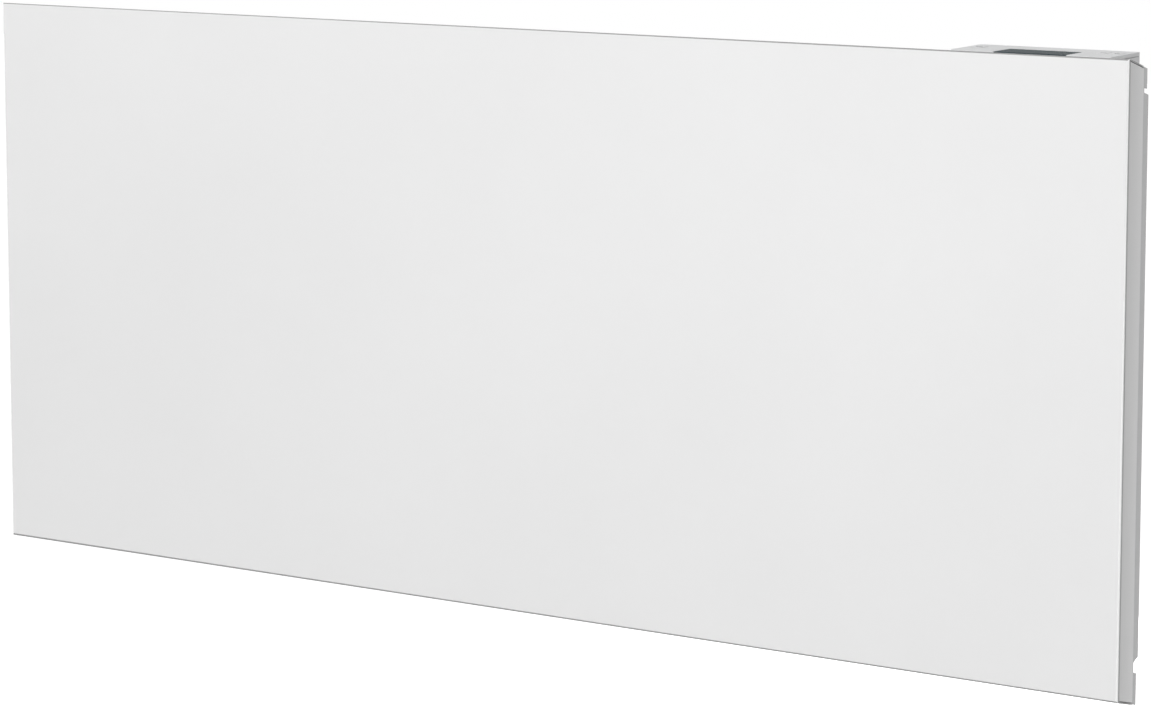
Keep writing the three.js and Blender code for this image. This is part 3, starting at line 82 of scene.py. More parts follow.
# ---------- studio ----------
WORLD_LEVEL = 0.42
FLOOR_DROP = 0.45  # from the part's lowest point to the floor
FLOOR_HALF = 9.0
FLOOR_COLOUR = (0.8, 0.8, 0.8)
FLOOR_GRAIN = 30.0
FLOOR_ROUGHNESS = 0.9
FLOOR_GLOW = 0.75
LAMPS = (  # name, place, side and power of each square lamp
    ("key_light", (0.3, -1.8, 1.5), 1.2, 26.8),
    ("fill_light", (-2.2, -1.6, 0.9), 1.8, 5.6),
    ("back_light", (-0.5, 2.2, -0.15), 0.9, 12.5),
    ("side_light", (2.3, -1.3, 0.2), 0.5, 4.0),
)

# ---------- painted shade and highlight on the folds of the front cover ---
# Each stop says how far a face looks to the front, and what share of the colour it shows. Shares
# below 1 are painted shade over a bend, and shares above 1 a painted highlight.
LONG_FOLD_PAINTED_SHADE = ((0.0, 1.0), (0.03, 0.36), (0.93, 0.36), (0.98, 0.8), (0.998, 1.0))
END_FOLD_PAINTED_LIGHT = ((0.0, 1.0), (0.05, 0.45), (0.5, 0.45), (0.7, 1.15), (0.992, 1.15), (0.9995, 1.0))

# ---------- soft edges of the solids ----------
WELD_DISTANCE = 0.01 * MM
FLAT_ANGLE = math.radians(0.6)
BEVEL_ANGLE = math.radians(40)
BEVEL_SEGMENTS = 2
SMOOTH_ANGLE = math.radians(35)
FACE_WEIGHT = 100  # large faces keep their own normal


# ---------- node trees ----------
NOISE_REACH = (0.3, 0.7)  # noise seldom leaves this range
MIX_FACTOR, MIX_FIRST, MIX_SECOND, MIX_COLOUR = 0, 6, 7, 2  # sockets of a colour mix


def new_material(name):
    material = bpy.data.materials.new(name)
    material.use_nodes = True
    tree = material.node_tree
    shader = tree.nodes["Principled BSDF"]
    return material, tree, shader


def add_node(tree, kind, **settings):
    node = tree.nodes.new(kind)
    for key, value in settings.items():
        if key in node.inputs:
            node.inputs[key].default_value = value
        else:
            setattr(node, key, value)
    return node


def object_place(tree, scale=(1.0, 1.0, 1.0)):
    """Object coordinates, stretched by scale."""
    place = add_node(tree, "ShaderNodeTexCoord")
    mapping = add_node(tree, "ShaderNodeMapping")
    mapping.inputs["Scale"].default_value = scale
    tree.links.new(place.outputs["Object"], mapping.inputs["Vector"])
    return mapping.outputs["Vector"]


def noise(tree, place, scale, detail=3.0, roughness=0.5):
    node = add_node(tree, "ShaderNodeTexNoise", Scale=scale, Detail=detail, Roughness=roughness)
    tree.links.new(place, node.inputs["Vector"])
    return node.outputs["Fac"]


def ramp(tree, value, low, high, start=0.0, end=1.0):
    """Two colours, mixed by a value from start to end."""
    node = add_node(tree, "ShaderNodeValToRGB")
    first, last = node.color_ramp.elements
    first.position, last.position = start, end
    first.color, last.color = (*low, 1.0), (*high, 1.0)
    tree.links.new(value, node.inputs["Fac"])
    return node.outputs["Color"]


def spread(tree, value, low, high, start=0.0, end=1.0):
    """A value from start to end, mapped to low to high."""
    node = add_node(tree, "ShaderNodeMapRange")
    node.inputs["From Min"].default_value = start
    node.inputs["From Max"].default_value = end
    node.inputs["To Min"].default_value = low
    node.inputs["To Max"].default_value = high
    tree.links.new(value, node.inputs["Value"])
    return node.outputs["Result"]


def bump(tree, shader, height, depth, strength, before=None):
    """A bump from a height, over the one before it."""
    node = add_node(tree, "ShaderNodeBump", Strength=strength, Distance=depth)
    tree.links.new(height, node.inputs["Height"])
    if before is not None:
        tree.links.new(before.outputs["Normal"], node.inputs["Normal"])
    tree.links.new(node.outputs["Normal"], shader.inputs["Normal"])
    return node


def shade_of(colour, share):
    return tuple(min(1.0, c * share) for c in colour)


def math_node(tree, operation, *values):
    node = add_node(tree, "ShaderNodeMath", operation=operation)
    for socket, value in zip(node.inputs, values):
        if isinstance(value, float):
            socket.default_value = value
        else:
            tree.links.new(value, socket)
    return node.outputs[0]


def mixed(tree, kind, factor, first, second):
    """Two colours, blended one over the other by a factor."""
    mix = add_node(tree, "ShaderNodeMix", data_type="RGBA", blend_type=kind)
    if isinstance(factor, float):
        mix.inputs[MIX_FACTOR].default_value = factor
    else:
        tree.links.new(factor, mix.inputs[MIX_FACTOR])
    tree.links.new(first, mix.inputs[MIX_FIRST])
    tree.links.new(second, mix.inputs[MIX_SECOND])
    return mix.outputs[MIX_COLOUR]


def stepped(tree, value, levels):
    """Greys that a value runs through, as (value, grey) pairs."""
    node = add_node(tree, "ShaderNodeValToRGB")
    stops = node.color_ramp.elements
    stops[0].position, stops[1].position = levels[0][0], levels[-1][0]
    for position, _ in levels[1:-1]:
        stops.new(position)
    for stop, (_, level) in zip(stops, levels):
        stop.color = (level, level, level, 1.0)
    tree.links.new(value, node.inputs["Fac"])
    return node.outputs["Color"]


# ---------- materials ----------
# Scales of noise and cells are counts to the metre.
COAT_ROUGHNESS = 0.42
COAT_ROUGHNESS_DRIFT = 0.05
COAT_PATCHES = 5.0
COAT_PEEL = 620.0
COAT_PEEL_DEPTH = 0.03 * MM
COAT_GRAIN = 4200.0
COAT_GRAIN_DEPTH = 0.006 * MM
SPANGLES = 170.0
SPANGLE_ROUGHNESS = (0.54, 0.68)
SCRATCH_STRETCH = (40.0, 40.0, 900.0)
SCRATCH_DEPTH = 0.01 * MM
ROLLED_STRETCH = (12.0, 900.0, 900.0)  # lines along X
TURNED_STRETCH = (500.0, 500.0, 500.0)
ROLLED_DEPTH = 0.008 * MM
MOULD_PATCHES = 38.0
MOULD_ROUGHNESS_DRIFT = 0.06
FOAM_CELLS = 900.0
FOAM_ROUGHNESS = 0.95
FOAM_DEPTH = 0.3 * MM
TRACKS = 260.0
TRACK_EDGE = (0.38, 0.42)  # where a copper track gives way to the mask
TRACK_DEPTH = 0.03 * MM
BOARD_ROUGHNESS = 0.35
WINDOW_STRETCH = (1.0, 5.0, 1.0)
WINDOW_PATCHES = 60.0
WINDOW_TRANSMISSION = 0.3
WINDOW_IOR = 1.03
WINDOW_SPECULAR = 0.1
WINDOW_ROUGHNESS = (0.12, 0.26)
HAIRLINE_STRETCH = (2.0, 60.0, 60.0)
HAIRLINES = 60.0
HAIRLINE_REACH = (0.35, 0.75)
HAIRLINE_DEPTH = 0.002 * MM


def painted_fold_light(tree):
    """Painted shade and highlight on a fold, as a share of the colour: painted shade over its bend,
    and full colour on the flat faces beside it.
    The folds at the two ends get a painted highlight where they meet the front."""
    place = add_node(tree, "ShaderNodeTexCoord")
    split = add_node(tree, "ShaderNodeSeparateXYZ")
    tree.links.new(place.outputs["Normal"], split.inputs["Vector"])
    to_front = math_node(tree, "MULTIPLY", split.outputs["Y"], -1.0)
    across = math_node(tree, "ABSOLUTE", split.outputs["X"])
    up = math_node(tree, "ABSOLUTE", split.outputs["Z"])
    long_fold = math_node(tree, "GREATER_THAN", up, across)
    # Painted shade over the bends of the end folds, and a painted highlight where they meet the
    # front; the long folds get painted shade only.
    ends = stepped(tree, to_front, END_FOLD_PAINTED_LIGHT)
    return mixed(tree, "MIX", long_fold, ends, stepped(tree, to_front, LONG_FOLD_PAINTED_SHADE))


def powder_coat(name, colour, folds=False):
    """Satin powder coat: a faint orange peel, and a colour that drifts by a percent or two. With
    folds, it also gets painted shade and a painted highlight over its folds.
    """
    material, tree, shader = new_material(name)
    place = object_place(tree)
    drift = noise(tree, place, COAT_PATCHES, detail=2.0)
    colours = ramp(tree, drift, shade_of(colour, 0.985), shade_of(colour, 1.01), *NOISE_REACH)
    # Painted shade and highlight over the folds, by the way each face looks.
    if folds:
        colours = mixed(tree, "MULTIPLY", 1.0, colours, painted_fold_light(tree))
    tree.links.new(colours, shader.inputs["Base Color"])
    peel = noise(tree, place, COAT_PEEL, detail=2.0)
    low, high = COAT_ROUGHNESS - COAT_ROUGHNESS_DRIFT, COAT_ROUGHNESS + COAT_ROUGHNESS_DRIFT
    tree.links.new(spread(tree, peel, low, high, *NOISE_REACH), shader.inputs["Roughness"])
    wide = bump(tree, shader, peel, COAT_PEEL_DEPTH, 0.35)
    bump(tree, shader, noise(tree, place, COAT_GRAIN, detail=1.0), COAT_GRAIN_DEPTH, 0.3, wide)
    return material


def galvanised(name, colour):
    """Zinc-coated sheet: spangles a few millimetres wide, each a little lighter or darker."""
    material, tree, shader = new_material(name)
    cells = add_node(tree, "ShaderNodeTexVoronoi", Scale=SPANGLES)
    tree.links.new(object_place(tree), cells.inputs["Vector"])
    split = add_node(tree, "ShaderNodeSeparateColor")
    tree.links.new(cells.outputs["Color"], split.inputs["Color"])
    colours = ramp(tree, split.outputs["Red"], shade_of(colour, 0.86), shade_of(colour, 1.12))
    tree.links.new(colours, shader.inputs["Base Color"])
    shader.inputs["Metallic"].default_value = 1.0
    roughness = spread(tree, split.outputs["Green"], *SPANGLE_ROUGHNESS)
    tree.links.new(roughness, shader.inputs["Roughness"])
    scratches = noise(tree, object_place(tree, SCRATCH_STRETCH), 1.0, detail=4.0)
    bump(tree, shader, scratches, SCRATCH_DEPTH, 0.25)
    return material


def rolled_metal(name, colour, roughness, stretch=ROLLED_STRETCH):
    """Bare metal with fine lines, which the stretch lays along the piece."""
    material, tree, shader = new_material(name)
    lines = noise(tree, object_place(tree, stretch), 1.0, detail=5.0, roughness=0.6)
    colours = ramp(tree, lines, shade_of(colour, 0.88), shade_of(colour, 1.06), *NOISE_REACH)
    tree.links.new(colours, shader.inputs["Base Color"])
    shader.inputs["Metallic"].default_value = 1.0
    roughness = spread(tree, lines, roughness - 0.07, roughness + 0.09, *NOISE_REACH)
    tree.links.new(roughness, shader.inputs["Roughness"])
    bump(tree, shader, lines, ROLLED_DEPTH, 0.3)
    return material


def moulded(name, colour, roughness, grain=1500.0, grain_depth=0.02, specular=0.5):
    """Moulded plastic with a fine spark-eroded grain and a slight drift of colour."""
    material, tree, shader = new_material(name)
    place = object_place(tree)
    drift = noise(tree, place, MOULD_PATCHES, detail=3.0)
    colours = ramp(tree, drift, shade_of(colour, 0.97), shade_of(colour, 1.02), *NOISE_REACH)
    tree.links.new(colours, shader.inputs["Base Color"])
    shader.inputs["Specular IOR Level"].default_value = specular
    pits = noise(tree, place, grain, detail=2.0, roughness=0.6)
    low, high = roughness - MOULD_ROUGHNESS_DRIFT, roughness + MOULD_ROUGHNESS_DRIFT
    tree.links.new(spread(tree, pits, low, high, *NOISE_REACH), shader.inputs["Roughness"])
    bump(tree, shader, pits, grain_depth * MM, 0.4)
    return material


def foam(name, colour):
    """Closed-cell foam: small pits, with painted shade at their bottoms."""
    material, tree, shader = new_material(name)
    cells = add_node(tree, "ShaderNodeTexVoronoi", Scale=FOAM_CELLS)
    tree.links.new(object_place(tree), cells.inputs["Vector"])
    depth = cells.outputs["Distance"]
    # Painted shade: the colour darkens towards the bottom of each pit.
    colours = ramp(tree, depth, shade_of(colour, 0.5), shade_of(colour, 1.2), 0.0, 0.6)
    tree.links.new(colours, shader.inputs["Base Color"])
    shader.inputs["Roughness"].default_value = FOAM_ROUGHNESS
    bump(tree, shader, depth, FOAM_DEPTH, 0.8)
    return material


def circuit_board(name, colour, copper):
    """Solder mask over a maze of copper tracks."""
    material, tree, shader = new_material(name)
    tracks = add_node(tree, "ShaderNodeTexVoronoi", Scale=TRACKS, distance="MANHATTAN")
    tree.links.new(object_place(tree), tracks.inputs["Vector"])
    colours = ramp(tree, tracks.outputs["Distance"], copper, colour, *TRACK_EDGE)
    tree.links.new(colours, shader.inputs["Base Color"])
    shader.inputs["Roughness"].default_value = BOARD_ROUGHNESS
    bump(tree, shader, tracks.outputs["Distance"], TRACK_DEPTH, 0.3)
    return material


def tinted_window(name, colour):
    """Dark tinted window: smooth and faintly see-through, with a few hairline scratches."""
    material, tree, shader = new_material(name)
    drift = noise(tree, object_place(tree, WINDOW_STRETCH), WINDOW_PATCHES, detail=2.0)
    colours = ramp(tree, drift, shade_of(colour, 0.8), shade_of(colour, 1.25), *NOISE_REACH)
    tree.links.new(colours, shader.inputs["Base Color"])
    shader.inputs["Transmission Weight"].default_value = WINDOW_TRANSMISSION
    shader.inputs["IOR"].default_value = WINDOW_IOR
    shader.inputs["Specular IOR Level"].default_value = WINDOW_SPECULAR
    place = object_place(tree, HAIRLINE_STRETCH)
    hair = noise(tree, place, HAIRLINES, detail=4.0, roughness=0.7)
    roughness = spread(tree, hair, *WINDOW_ROUGHNESS, *HAIRLINE_REACH)
    tree.links.new(roughness, shader.inputs["Roughness"])
    bump(tree, shader, hair, HAIRLINE_DEPTH, 0.2)
    return material


PALE = (0.79, 0.795, 0.80)
SLOT_LOOKS = {
    # The front cover's coat carries painted shade and a painted highlight on its folds.
    "white_steel": powder_coat("white_steel_look", (0.885, 0.885, 0.885), folds=True),
    "grey_steel": powder_coat("grey_steel_look", (0.66, 0.66, 0.665)),
    "galvanised_steel": galvanised("galvanised_look", (0.56, 0.58, 0.59)),
    "aluminium": rolled_metal("aluminium_look", (0.74, 0.75, 0.77), 0.34),
    "stainless_steel": rolled_metal("stainless_look", (0.5, 0.5, 0.51), 0.28),
    "zinc_screw": rolled_metal("zinc_look", (0.6, 0.61, 0.63), 0.32, TURNED_STRETCH),
    "pale_plastic": moulded("pale_plastic_look", PALE, 0.6, specular=0.15),
    "button_plastic": moulded("button_plastic_look", PALE, 0.5, grain_depth=0.01, specular=0.2),
    "grey_plastic": moulded("grey_plastic_look", (0.24, 0.245, 0.25), 0.55),
    "black_plastic": moulded("black_plastic_look", (0.022, 0.023, 0.026), 0.45),
    "ceramic": moulded("ceramic_look", (0.72, 0.68, 0.6), 0.7, 700.0, 0.05),
    "circuit_board": circuit_board("circuit_board_look", (0.012, 0.09, 0.035), (0.03, 0.16, 0.06)),
    "display_glass": tinted_window("display_glass_look", (0.035, 0.064, 0.074)),
    "rubber": moulded("rubber_look", (0.02, 0.02, 0.021), 0.7, 900.0, 0.03),
    "foam": foam("foam_look", (0.03, 0.03, 0.032)),
    "brown_wire": moulded("brown_wire_look", (0.09, 0.032, 0.012), 0.5, 600.0),
    "blue_wire": moulded("blue_wire_look", (0.012, 0.06, 0.26), 0.5, 600.0),
    "earth_wire": moulded("earth_wire_look", (0.11, 0.3, 0.03), 0.5, 600.0),
    "blue_can": moulded("blue_can_look", (0.015, 0.03, 0.11), 0.3, 400.0, 0.01),
}


# ---------- edges ----------
def smooth_by_angle():
    """A node group that shades a mesh smooth, but for its edges sharper than SMOOTH_ANGLE."""
    group = bpy.data.node_groups.new("smooth_by_angle", "GeometryNodeTree")
    group.interface.new_socket("Geometry", in_out="INPUT", socket_type="NodeSocketGeometry")
    group.interface.new_socket("Geometry", in_out="OUTPUT", socket_type="NodeSocketGeometry")
    start = group.nodes.new("NodeGroupInput")
    end = group.nodes.new("NodeGroupOutput")
    angle = group.nodes.new("GeometryNodeInputMeshEdgeAngle")
    sharper = group.nodes.new("FunctionNodeCompare")
    sharper.data_type = "FLOAT"
    sharper.operation = "GREATER_THAN"
    sharper.inputs[1].default_value = SMOOTH_ANGLE
    normals = group.nodes.new("GeometryNodeSetMeshNormal")
    normals.mode = "SHARPNESS"
    normals.inputs["Remove Custom"].default_value = True
    normals.inputs["Face Sharpness"].default_value = False
    group.links.new(start.outputs[0], normals.inputs["Mesh"])
    group.links.new(angle.outputs["Unsigned Angle"], sharper.inputs[0])
    group.links.new(sharper.outputs[0], normals.inputs["Edge Sharpness"])
    group.links.new(normals.outputs[0], end.inputs[0])
    return group


SMOOTH_GROUP = smooth_by_angle()


def soften(obj, width):
    """Welds the faceted solid, rounds its edges by width and shades it smooth."""
    weld = obj.modifiers.new("weld", "WELD")
    weld.merge_threshold = WELD_DISTANCE
    if width > 0:
        flat = obj.modifiers.new("flat_faces", "DECIMATE")
        flat.decimate_type = "DISSOLVE"
        flat.angle_limit = FLAT_ANGLE
        bevel = obj.modifiers.new("bevel", "BEVEL")
        bevel.width = width
        bevel.segments = BEVEL_SEGMENTS
        bevel.limit_method = "ANGLE"
        bevel.angle_limit = BEVEL_ANGLE
        bevel.use_clamp_overlap = True
    smooth = obj.modifiers.new("smooth", "NODES")
    smooth.node_group = SMOOTH_GROUP
    flat = obj.modifiers.new("flat_normals", "WEIGHTED_NORMAL")
    flat.weight = FACE_WEIGHT
    flat.keep_sharp = True


EDGE_WIDTHS = {
    "front_cover": 0.15 * MM,
    "chassis_plate": 0.15 * MM,
    "rear_casing": 0.25 * MM,
    "outlet_grille": 0.25 * MM,
    "control_housing": 0.35 * MM,
    "control_fascia": 0.3 * MM,
    "display_window": 0.15 * MM,
    "button_power": 0.3 * MM,
    "button_minus": 0.3 * MM,
    "button_plus": 0.3 * MM,
    "wall_bracket": 0.2 * MM,
    "catch_left": 0.3 * MM,
    "catch_right": 0.3 * MM,
}
ROUND_PIECES = ("wire_", "element_tube", "capacitor")
SMALL_EDGE = 0.12 * MM


def dress_nodes():
    """Gives every solid its slot's finish and its soft edges. Round pieces get none."""
    slots = {row["node"]: row["material_slot"] for row in frame["record"]["subparts"]}
    for name, node in NODES.items():
        node.data.materials.clear()
        node.data.materials.append(SLOT_LOOKS[slots[name]])
        plain = name.startswith(ROUND_PIECES)
        soften(node, EDGE_WIDTHS.get(name, 0.0 if plain else SMALL_EDGE))


dress_nodes()


# ---------- pieces made here ----------
def ring_faces(rings, around):
    """Faces of a closed tube of rings, each with as many corners, capped at both ends."""
    faces = [tuple(range(around)), tuple((rings - 1) * around + i for i in range(around))]
    for ring in range(rings - 1):
        for i in range(around):
            after = (i + 1) % around
            low, high = ring * around, (ring + 1) * around
            faces.append((low + i, low + after, high + after, high + i))
    return faces


def closed_mesh(name, corners, faces):
    """A mesh whose faces point out."""
    mesh = bpy.data.meshes.new(name)
    mesh.from_pydata(corners, [], faces)
    skin = bmesh.new()
    skin.from_mesh(mesh)
    bmesh.ops.recalc_face_normals(skin, faces=skin.faces)
    skin.to_mesh(mesh)
    skin.free()
    return mesh


def new_piece(name, mesh, body, slot, place=Matrix.Identity(4)):
    """A piece with its slot's finish, which rides on a body."""
    mesh.shade_smooth()
    mesh.set_sharp_from_angle(angle=SMOOTH_ANGLE)
    mesh.materials.clear()
    mesh.materials.append(SLOT_LOOKS[slot])
    piece = bpy.data.objects.new(name, mesh)
    piece.matrix_world = place
    bpy.context.scene.collection.objects.link(piece)
    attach(piece, body)
    return piece


# ---------- catch springs ----------
SPRING_RADIUS = 4.4 * MM
SPRING_WIRE = 0.5 * MM
SPRING_CURLS = 6
SPRING_STEPS = 36  # to a curl
SPRING_SIDES = 12
SPRING_DEPTH = -18 * MM
SPRING_FOOT = -163.7 * MM
SPRING_LENGTH = 21.1 * MM
CLOSED_CURLS = 0.9  # at each end, where the curls lie on each other
CLOSED_PITCH = 1.05 * MM


def spring_height(curl):
    """Height of the wire's middle above the spring's foot, so many curls from there."""
    run = SPRING_LENGTH - 2 * SPRING_WIRE
    closed = CLOSED_CURLS * CLOSED_PITCH
    pitch = (run - 2 * closed) / (SPRING_CURLS - 2 * CLOSED_CURLS)
    if curl < CLOSED_CURLS:
        return SPRING_WIRE + curl * CLOSED_PITCH
    if curl > SPRING_CURLS - CLOSED_CURLS:
        return SPRING_WIRE + run - (SPRING_CURLS - curl) * CLOSED_PITCH
    return SPRING_WIRE + closed + (curl - CLOSED_CURLS) * pitch


def catch_spring(side):
    """A compression spring of round wire, whose end curls lie flat on their neighbours."""
    low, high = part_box(f"catch_{side}")
    middle_x = (low.x + high.x) / 2
    corners = []
    rings = SPRING_CURLS * SPRING_STEPS + 1
    for ring in range(rings):
        turn = 2 * math.pi * ring / SPRING_STEPS
        height = SPRING_FOOT + spring_height(ring / SPRING_STEPS)
        for i in range(SPRING_SIDES):
            around = 2 * math.pi * i / SPRING_SIDES
            reach = SPRING_RADIUS + SPRING_WIRE * math.cos(around)
            x = middle_x + reach * math.cos(turn)
            y = SPRING_DEPTH + reach * math.sin(turn)
            corners.append((x, y, height + SPRING_WIRE * math.sin(around)))
    mesh = closed_mesh("spring_wire", corners, ring_faces(rings, SPRING_SIDES))
    spring = new_piece(f"spring_wire_{side}", mesh, "heater", "stainless_steel")
    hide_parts(f"catch_spring_{side}")
    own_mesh(spring)


for side in ("left", "right"):
    catch_spring(side)


# ---------- screws at the back ----------
HEAD_RADIUS = 3.5 * MM
HEAD_HEIGHT = 2.2 * MM
HEAD_RIM = 0.7 * MM  # height of the head's side, under its dome
DOME_STEPS = 7
DOME_FULLNESS = 0.8
UNDERCUT = 0.15 * MM
SHANK_RADIUS = 1.75 * MM
SCREW_LENGTH = 8 * MM
POINT_LENGTH = 1.2 * MM
POINT_RADIUS = 0.3 * MM
SCREW_SIDES = 48
SCREW_TURN = 0.9  # radians from each screw's recess to the next one's
RECESS_DEPTH = 1.3 * MM
RECESS_FOOT = (0.7 * MM, 0.3 * MM)  # half the length and half the width of the cross's bars
RECESS_MOUTH = (2.2 * MM, 0.6 * MM)
CASING_SCREWS = 6


def screw_profile():
    """Radius and height of a pan-head screw from its dome to its point. The head seats at 0."""
    dome = HEAD_HEIGHT - HEAD_RIM
    points = []
    for step in range(1, DOME_STEPS):
        angle = math.pi / 2 * step / DOME_STEPS
        height = HEAD_RIM + dome * math.cos(angle) ** DOME_FULLNESS
        points.append((HEAD_RADIUS * math.sin(angle), height))
    points += [(HEAD_RADIUS, HEAD_RIM), (HEAD_RADIUS - UNDERCUT, 0.0), (SHANK_RADIUS, 0.0)]
    return points + [(SHANK_RADIUS, POINT_LENGTH - SCREW_LENGTH), (POINT_RADIUS, -SCREW_LENGTH)]


def recess_bar(turned):
    """One bar of the cross recess, which narrows downwards."""
    corners = []
    foot, mouth = HEAD_HEIGHT - RECESS_DEPTH, HEAD_HEIGHT + RECESS_DEPTH
    for (half_long, half_wide), height in ((RECESS_FOOT, foot), (RECESS_MOUTH, mouth)):
        for x, y in ((-1, -1), (1, -1), (1, 1), (-1, 1)):
            place = (x * half_long, y * half_wide)
            corners.append((*(place[::-1] if turned else place), height))
    cutter = bpy.data.objects.new("recess", closed_mesh("recess", corners, ring_faces(2, 4)))
    bpy.context.scene.collection.objects.link(cutter)
    return cutter


def screw_mesh():
    """A pan-head screw along Z, turned from its profile, with a cross recess cut in its head."""
    corners = []
    profile = screw_profile()
    for radius, height in profile:
        for i in range(SCREW_SIDES):
            around = 2 * math.pi * i / SCREW_SIDES
            corners.append((radius * math.cos(around), radius * math.sin(around), height))
    turned_mesh = closed_mesh("blank", corners, ring_faces(len(profile), SCREW_SIDES))
    blank = bpy.data.objects.new("blank", turned_mesh)
    bpy.context.scene.collection.objects.link(blank)
    cutters = [recess_bar(turned) for turned in (False, True)]
    for cutter in cutters:
        cut = blank.modifiers.new("recess", "BOOLEAN")
        cut.solver = "EXACT"
        cut.object = cutter
    graph = bpy.context.evaluated_depsgraph_get()
    mesh = bpy.data.meshes.new_from_object(blank.evaluated_get(graph))
    for used in (blank, *cutters):
        bpy.data.objects.remove(used)
    return mesh


def plate_screws():
    """Pan-head screws whose heads look to the wall."""
    mesh = screw_mesh()
    nodes = [f"casing_screw_{i + 1}" for i in range(CASING_SCREWS)]
    nodes += ["module_screw_left", "module_screw_right"]
    for i, node in enumerate(nodes):
        low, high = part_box(node)
        seat = Vector(((low.x + high.x) / 2, high.y - HEAD_HEIGHT, (low.z + high.z) / 2))
        turn = Matrix.Rotation(SCREW_TURN * i, 4, "Y") @ Matrix.Rotation(-math.pi / 2, 4, "X")
        place = Matrix.Translation(seat) @ turn
        name = node.replace("screw", "pan_screw")
        screw = new_piece(name, mesh, "heater", "zinc_screw", place)
        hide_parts(node)


plate_screws()


# ---------- marks on the keys and segments of the display ----------
MARK_PROUD = 0.05 * MM
MARK_SUNK = 0.05 * MM
MARK_HALF = 2.0 * MM
MARK_WIDTH = 0.6 * MM
MARK_TIP = 0.12 * MM
TIP_SHARE = 0.3  # of a strip's width, left at its ends
RING_RADIUS = 1.7 * MM
RING_STEPS = 28
RING_GAP = math.radians(38)  # each side of the power sign's bar
DIGIT_WIDTH = 5.4 * MM
DIGIT_HEIGHT = 9.6 * MM
DIGIT_SPACING = 8.4 * MM
SEGMENT_WIDTH = 1.0 * MM
SEGMENT_TIP = 0.5 * MM
SEGMENT_GAP = 0.12 * MM
DIGITS_FORWARD = 0.5 * MM
DEGREE_RADIUS = 1.1 * MM
DEGREE_ACROSS = 9.4 * MM


def top_of(node):
    """A function that gives the height of a node's top over a place."""
    mesh = NODES[node].data
    corners = [corner.co for corner in mesh.vertices]
    tree = BVHTree.FromPolygons(corners, [face.vertices for face in mesh.polygons])
    above, down = Vector((0, 0, 1)), Vector((0, 0, -1))
    return lambda x, y: tree.ray_cast(Vector((x, y, 0)) + above, down)[0].z


def raised(name, node, body, slot, strips):
    """Strips, each a row of (left, right) places, a little proud of a node's top."""
    top = top_of(node)
    corners, faces = [], []
    for strip in strips:
        start = len(corners)
        for left, right in strip:
            upper = ((left, MARK_PROUD), (right, MARK_PROUD))
            lower = ((right, -MARK_SUNK), (left, -MARK_SUNK))
            for (x, y), rise in upper + lower:
                corners.append((x, y, top(x, y) + rise))
        faces += [tuple(start + i for i in face) for face in ring_faces(len(strip), 4)]
    return new_piece(name, closed_mesh(name, corners, faces), body, slot)


def bar(start, end, width, tip):
    """A straight strip from start to end, narrower at its tips."""
    start, end = Vector(start), Vector(end)
    along = (end - start).normalized()
    across = Vector((-along.y, along.x)) * width / 2
    strip = []
    for place, share in ((start, TIP_SHARE), (start + along * tip, 1.0)):
        strip.append((place + across * share, place - across * share))
    for place, share in ((end - along * tip, 1.0), (end, TIP_SHARE)):
        strip.append((place + across * share, place - across * share))
    return strip


def arc(centre, radius, width, start, end):
    """A curved strip round a centre, from one angle to another, counted from +Y."""
    strip = []
    inner, outer = radius - width / 2, radius + width / 2
    for step in range(RING_STEPS + 1):
        angle = start + (end - start) * step / RING_STEPS
        out = Vector((math.sin(angle), math.cos(angle)))
        strip.append((centre + out * inner, centre + out * outer))
    return strip


def middle_of(node):
    """Middle of a node, seen from above."""
    low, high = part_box(node)
    return Vector(((low.x + high.x) / 2, (low.y + high.y) / 2))


def key_marks():
    """Generic power, minus and plus signs on the three keys."""
    signs = {"power": [], "minus": [], "plus": []}
    places = {key: middle_of(f"button_{key}") for key in signs}
    right, back = Vector((MARK_HALF, 0)), Vector((0, MARK_HALF))
    centre, ring_end = places["power"], 2 * math.pi - RING_GAP
    signs["power"].append(arc(centre, RING_RADIUS, MARK_WIDTH, RING_GAP, ring_end))
    signs["power"].append(bar(centre, centre + back, MARK_WIDTH, MARK_TIP))
    for key in ("minus", "plus"):
        signs[key].append(bar(places[key] - right, places[key] + right, MARK_WIDTH, MARK_TIP))
    centre, half = places["plus"], Vector((0, MARK_WIDTH / 2 + SEGMENT_GAP / 2))
    signs["plus"].append(bar(centre - back, centre - half, MARK_WIDTH, MARK_TIP))
    signs["plus"].append(bar(centre + half, centre + back, MARK_WIDTH, MARK_TIP))
    for key, strips in signs.items():
        raised(f"{key}_mark", f"button_{key}", f"{key}_button", "grey_plastic", strips)


def digit_strips(centre):
    """The seven segments of a digit, seen from above, with its top towards the wall."""
    half_width, half_height = DIGIT_WIDTH / 2, DIGIT_HEIGHT / 2
    ends = []
    for level in (-half_height, 0.0, half_height):
        ends.append(((-half_width, level), (half_width, level)))
    for across in (-half_width, half_width):
        ends.append(((across, -half_height), (across, 0.0)))
        ends.append(((across, 0.0), (across, half_height)))
    strips = []
    for start, end in ends:
        start, end = Vector(start), Vector(end)
        short = (end - start).normalized() * (SEGMENT_TIP + SEGMENT_GAP)
        start, end = centre + start + short, centre + end - short
        strips.append(bar(start, end, SEGMENT_WIDTH, SEGMENT_TIP))
    return strips


def display_segments():
    """Two unlit digits and a degree ring on the display, under the dark window."""
    centre = middle_of("display_window") - Vector((0, DIGITS_FORWARD))
    strips = []
    for share in (-0.5, 0.5):
        strips += digit_strips(centre + Vector((share * DIGIT_SPACING, 0)))
    degree = centre + Vector((DEGREE_ACROSS, DIGIT_HEIGHT / 2 - DEGREE_RADIUS))
    ring_end = 2 * math.pi * (1 - 1 / RING_STEPS)  # its ends don't touch
    strips.append(arc(degree, DEGREE_RADIUS, MARK_WIDTH, 0.0, ring_end))
    raised("display_segments", "display_panel", "heater", "grey_plastic", strips)


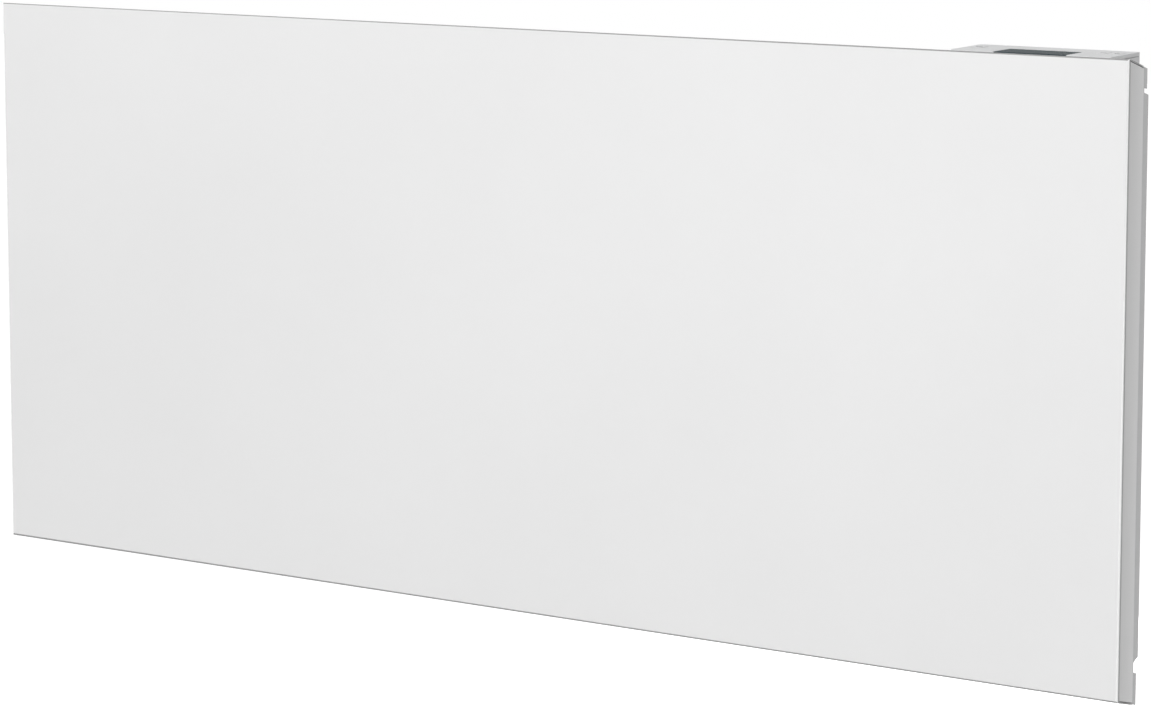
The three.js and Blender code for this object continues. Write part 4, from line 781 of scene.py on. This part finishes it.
key_marks()
display_segments()


# ---------- studio ----------
def seen_directly(tree):
    """1 for camera, glossy and transmission rays, and 0 for the rays that light the part."""
    path = add_node(tree, "ShaderNodeLightPath").outputs
    either = math_node(tree, "MAXIMUM", path["Is Camera Ray"], path["Is Glossy Ray"])
    return math_node(tree, "MAXIMUM", either, path["Is Transmission Ray"])


def make_world():
    """A white world, which lights the part less brightly than it looks."""
    world = bpy.data.worlds.new("studio")
    world.use_nodes = True
    tree = world.node_tree
    lit = tree.nodes["Background"]
    lit.inputs["Color"].default_value = (1.0, 1.0, 1.0, 1.0)
    lit.inputs["Strength"].default_value = WORLD_LEVEL
    seen = add_node(tree, "ShaderNodeBackground")
    seen.inputs["Strength"].default_value = 1.0
    seen.inputs["Color"].default_value = (1.0, 1.0, 1.0, 1.0)
    mix = add_node(tree, "ShaderNodeMixShader")
    tree.links.new(seen_directly(tree), mix.inputs["Fac"])
    tree.links.new(lit.outputs[0], mix.inputs[1])
    tree.links.new(seen.outputs[0], mix.inputs[2])
    tree.links.new(mix.outputs[0], tree.nodes["World Output"].inputs["Surface"])
    bpy.context.scene.world = world


def make_floor():
    """A wide plain floor below the part. Its glow lifts it to white and keeps the shadows."""
    mesh = bpy.data.meshes.new("floor")
    z = CAD_BOX[0].z - FLOOR_DROP
    corners = [(x * FLOOR_HALF, y * FLOOR_HALF, z) for x, y in ((-1, -1), (1, -1), (1, 1), (-1, 1))]
    mesh.from_pydata(corners, [], [(0, 1, 2, 3)])
    floor = bpy.data.objects.new("floor", mesh)
    bpy.context.scene.collection.objects.link(floor)
    material, tree, shader = new_material("floor_look")
    grain = noise(tree, object_place(tree), FLOOR_GRAIN)
    colours = ramp(tree, grain, shade_of(FLOOR_COLOUR, 0.995), FLOOR_COLOUR)
    tree.links.new(colours, shader.inputs["Base Color"])
    shader.inputs["Roughness"].default_value = FLOOR_ROUGHNESS
    shader.inputs["Specular IOR Level"].default_value = 0.0
    glow = add_node(tree, "ShaderNodeEmission")
    tree.links.new(seen_directly(tree), glow.inputs["Strength"])
    glow.inputs["Color"].default_value = (FLOOR_GLOW, FLOOR_GLOW, FLOOR_GLOW, 1.0)
    both = add_node(tree, "ShaderNodeAddShader")
    tree.links.new(shader.outputs[0], both.inputs[0])
    tree.links.new(glow.outputs[0], both.inputs[1])
    tree.links.new(both.outputs[0], tree.nodes["Material Output"].inputs["Surface"])
    mesh.materials.append(material)


def area_light(name, place, size, power):
    """A square lamp that looks at the origin and isn't seen itself."""
    data = bpy.data.lights.new(name, "AREA")
    data.shape = "SQUARE"
    data.size = size
    data.energy = power
    lamp = bpy.data.objects.new(name, data)
    lamp.location = place
    lamp.rotation_euler = (-Vector(place)).to_track_quat("-Z", "Y").to_euler()
    lamp.visible_camera = False
    bpy.context.scene.collection.objects.link(lamp)


def make_camera():
    """The photograph's camera."""
    data = bpy.data.cameras.new("camera")
    data.sensor_width = SENSOR_WIDTH_MM
    data.lens = FOCAL_LENGTH_PX / IMAGE_WIDTH_PX * SENSOR_WIDTH_MM
    camera = bpy.data.objects.new("camera", data)
    camera.location = CAMERA_PLACE
    camera.rotation_euler = (CAMERA_TILT, 0.0, CAMERA_TURN)
    bpy.context.scene.collection.objects.link(camera)
    bpy.context.scene.camera = camera


bpy.context.scene.view_settings.view_transform = "Standard"
make_camera()
make_world()
make_floor()
for lamp in LAMPS:
    area_light(*lamp)
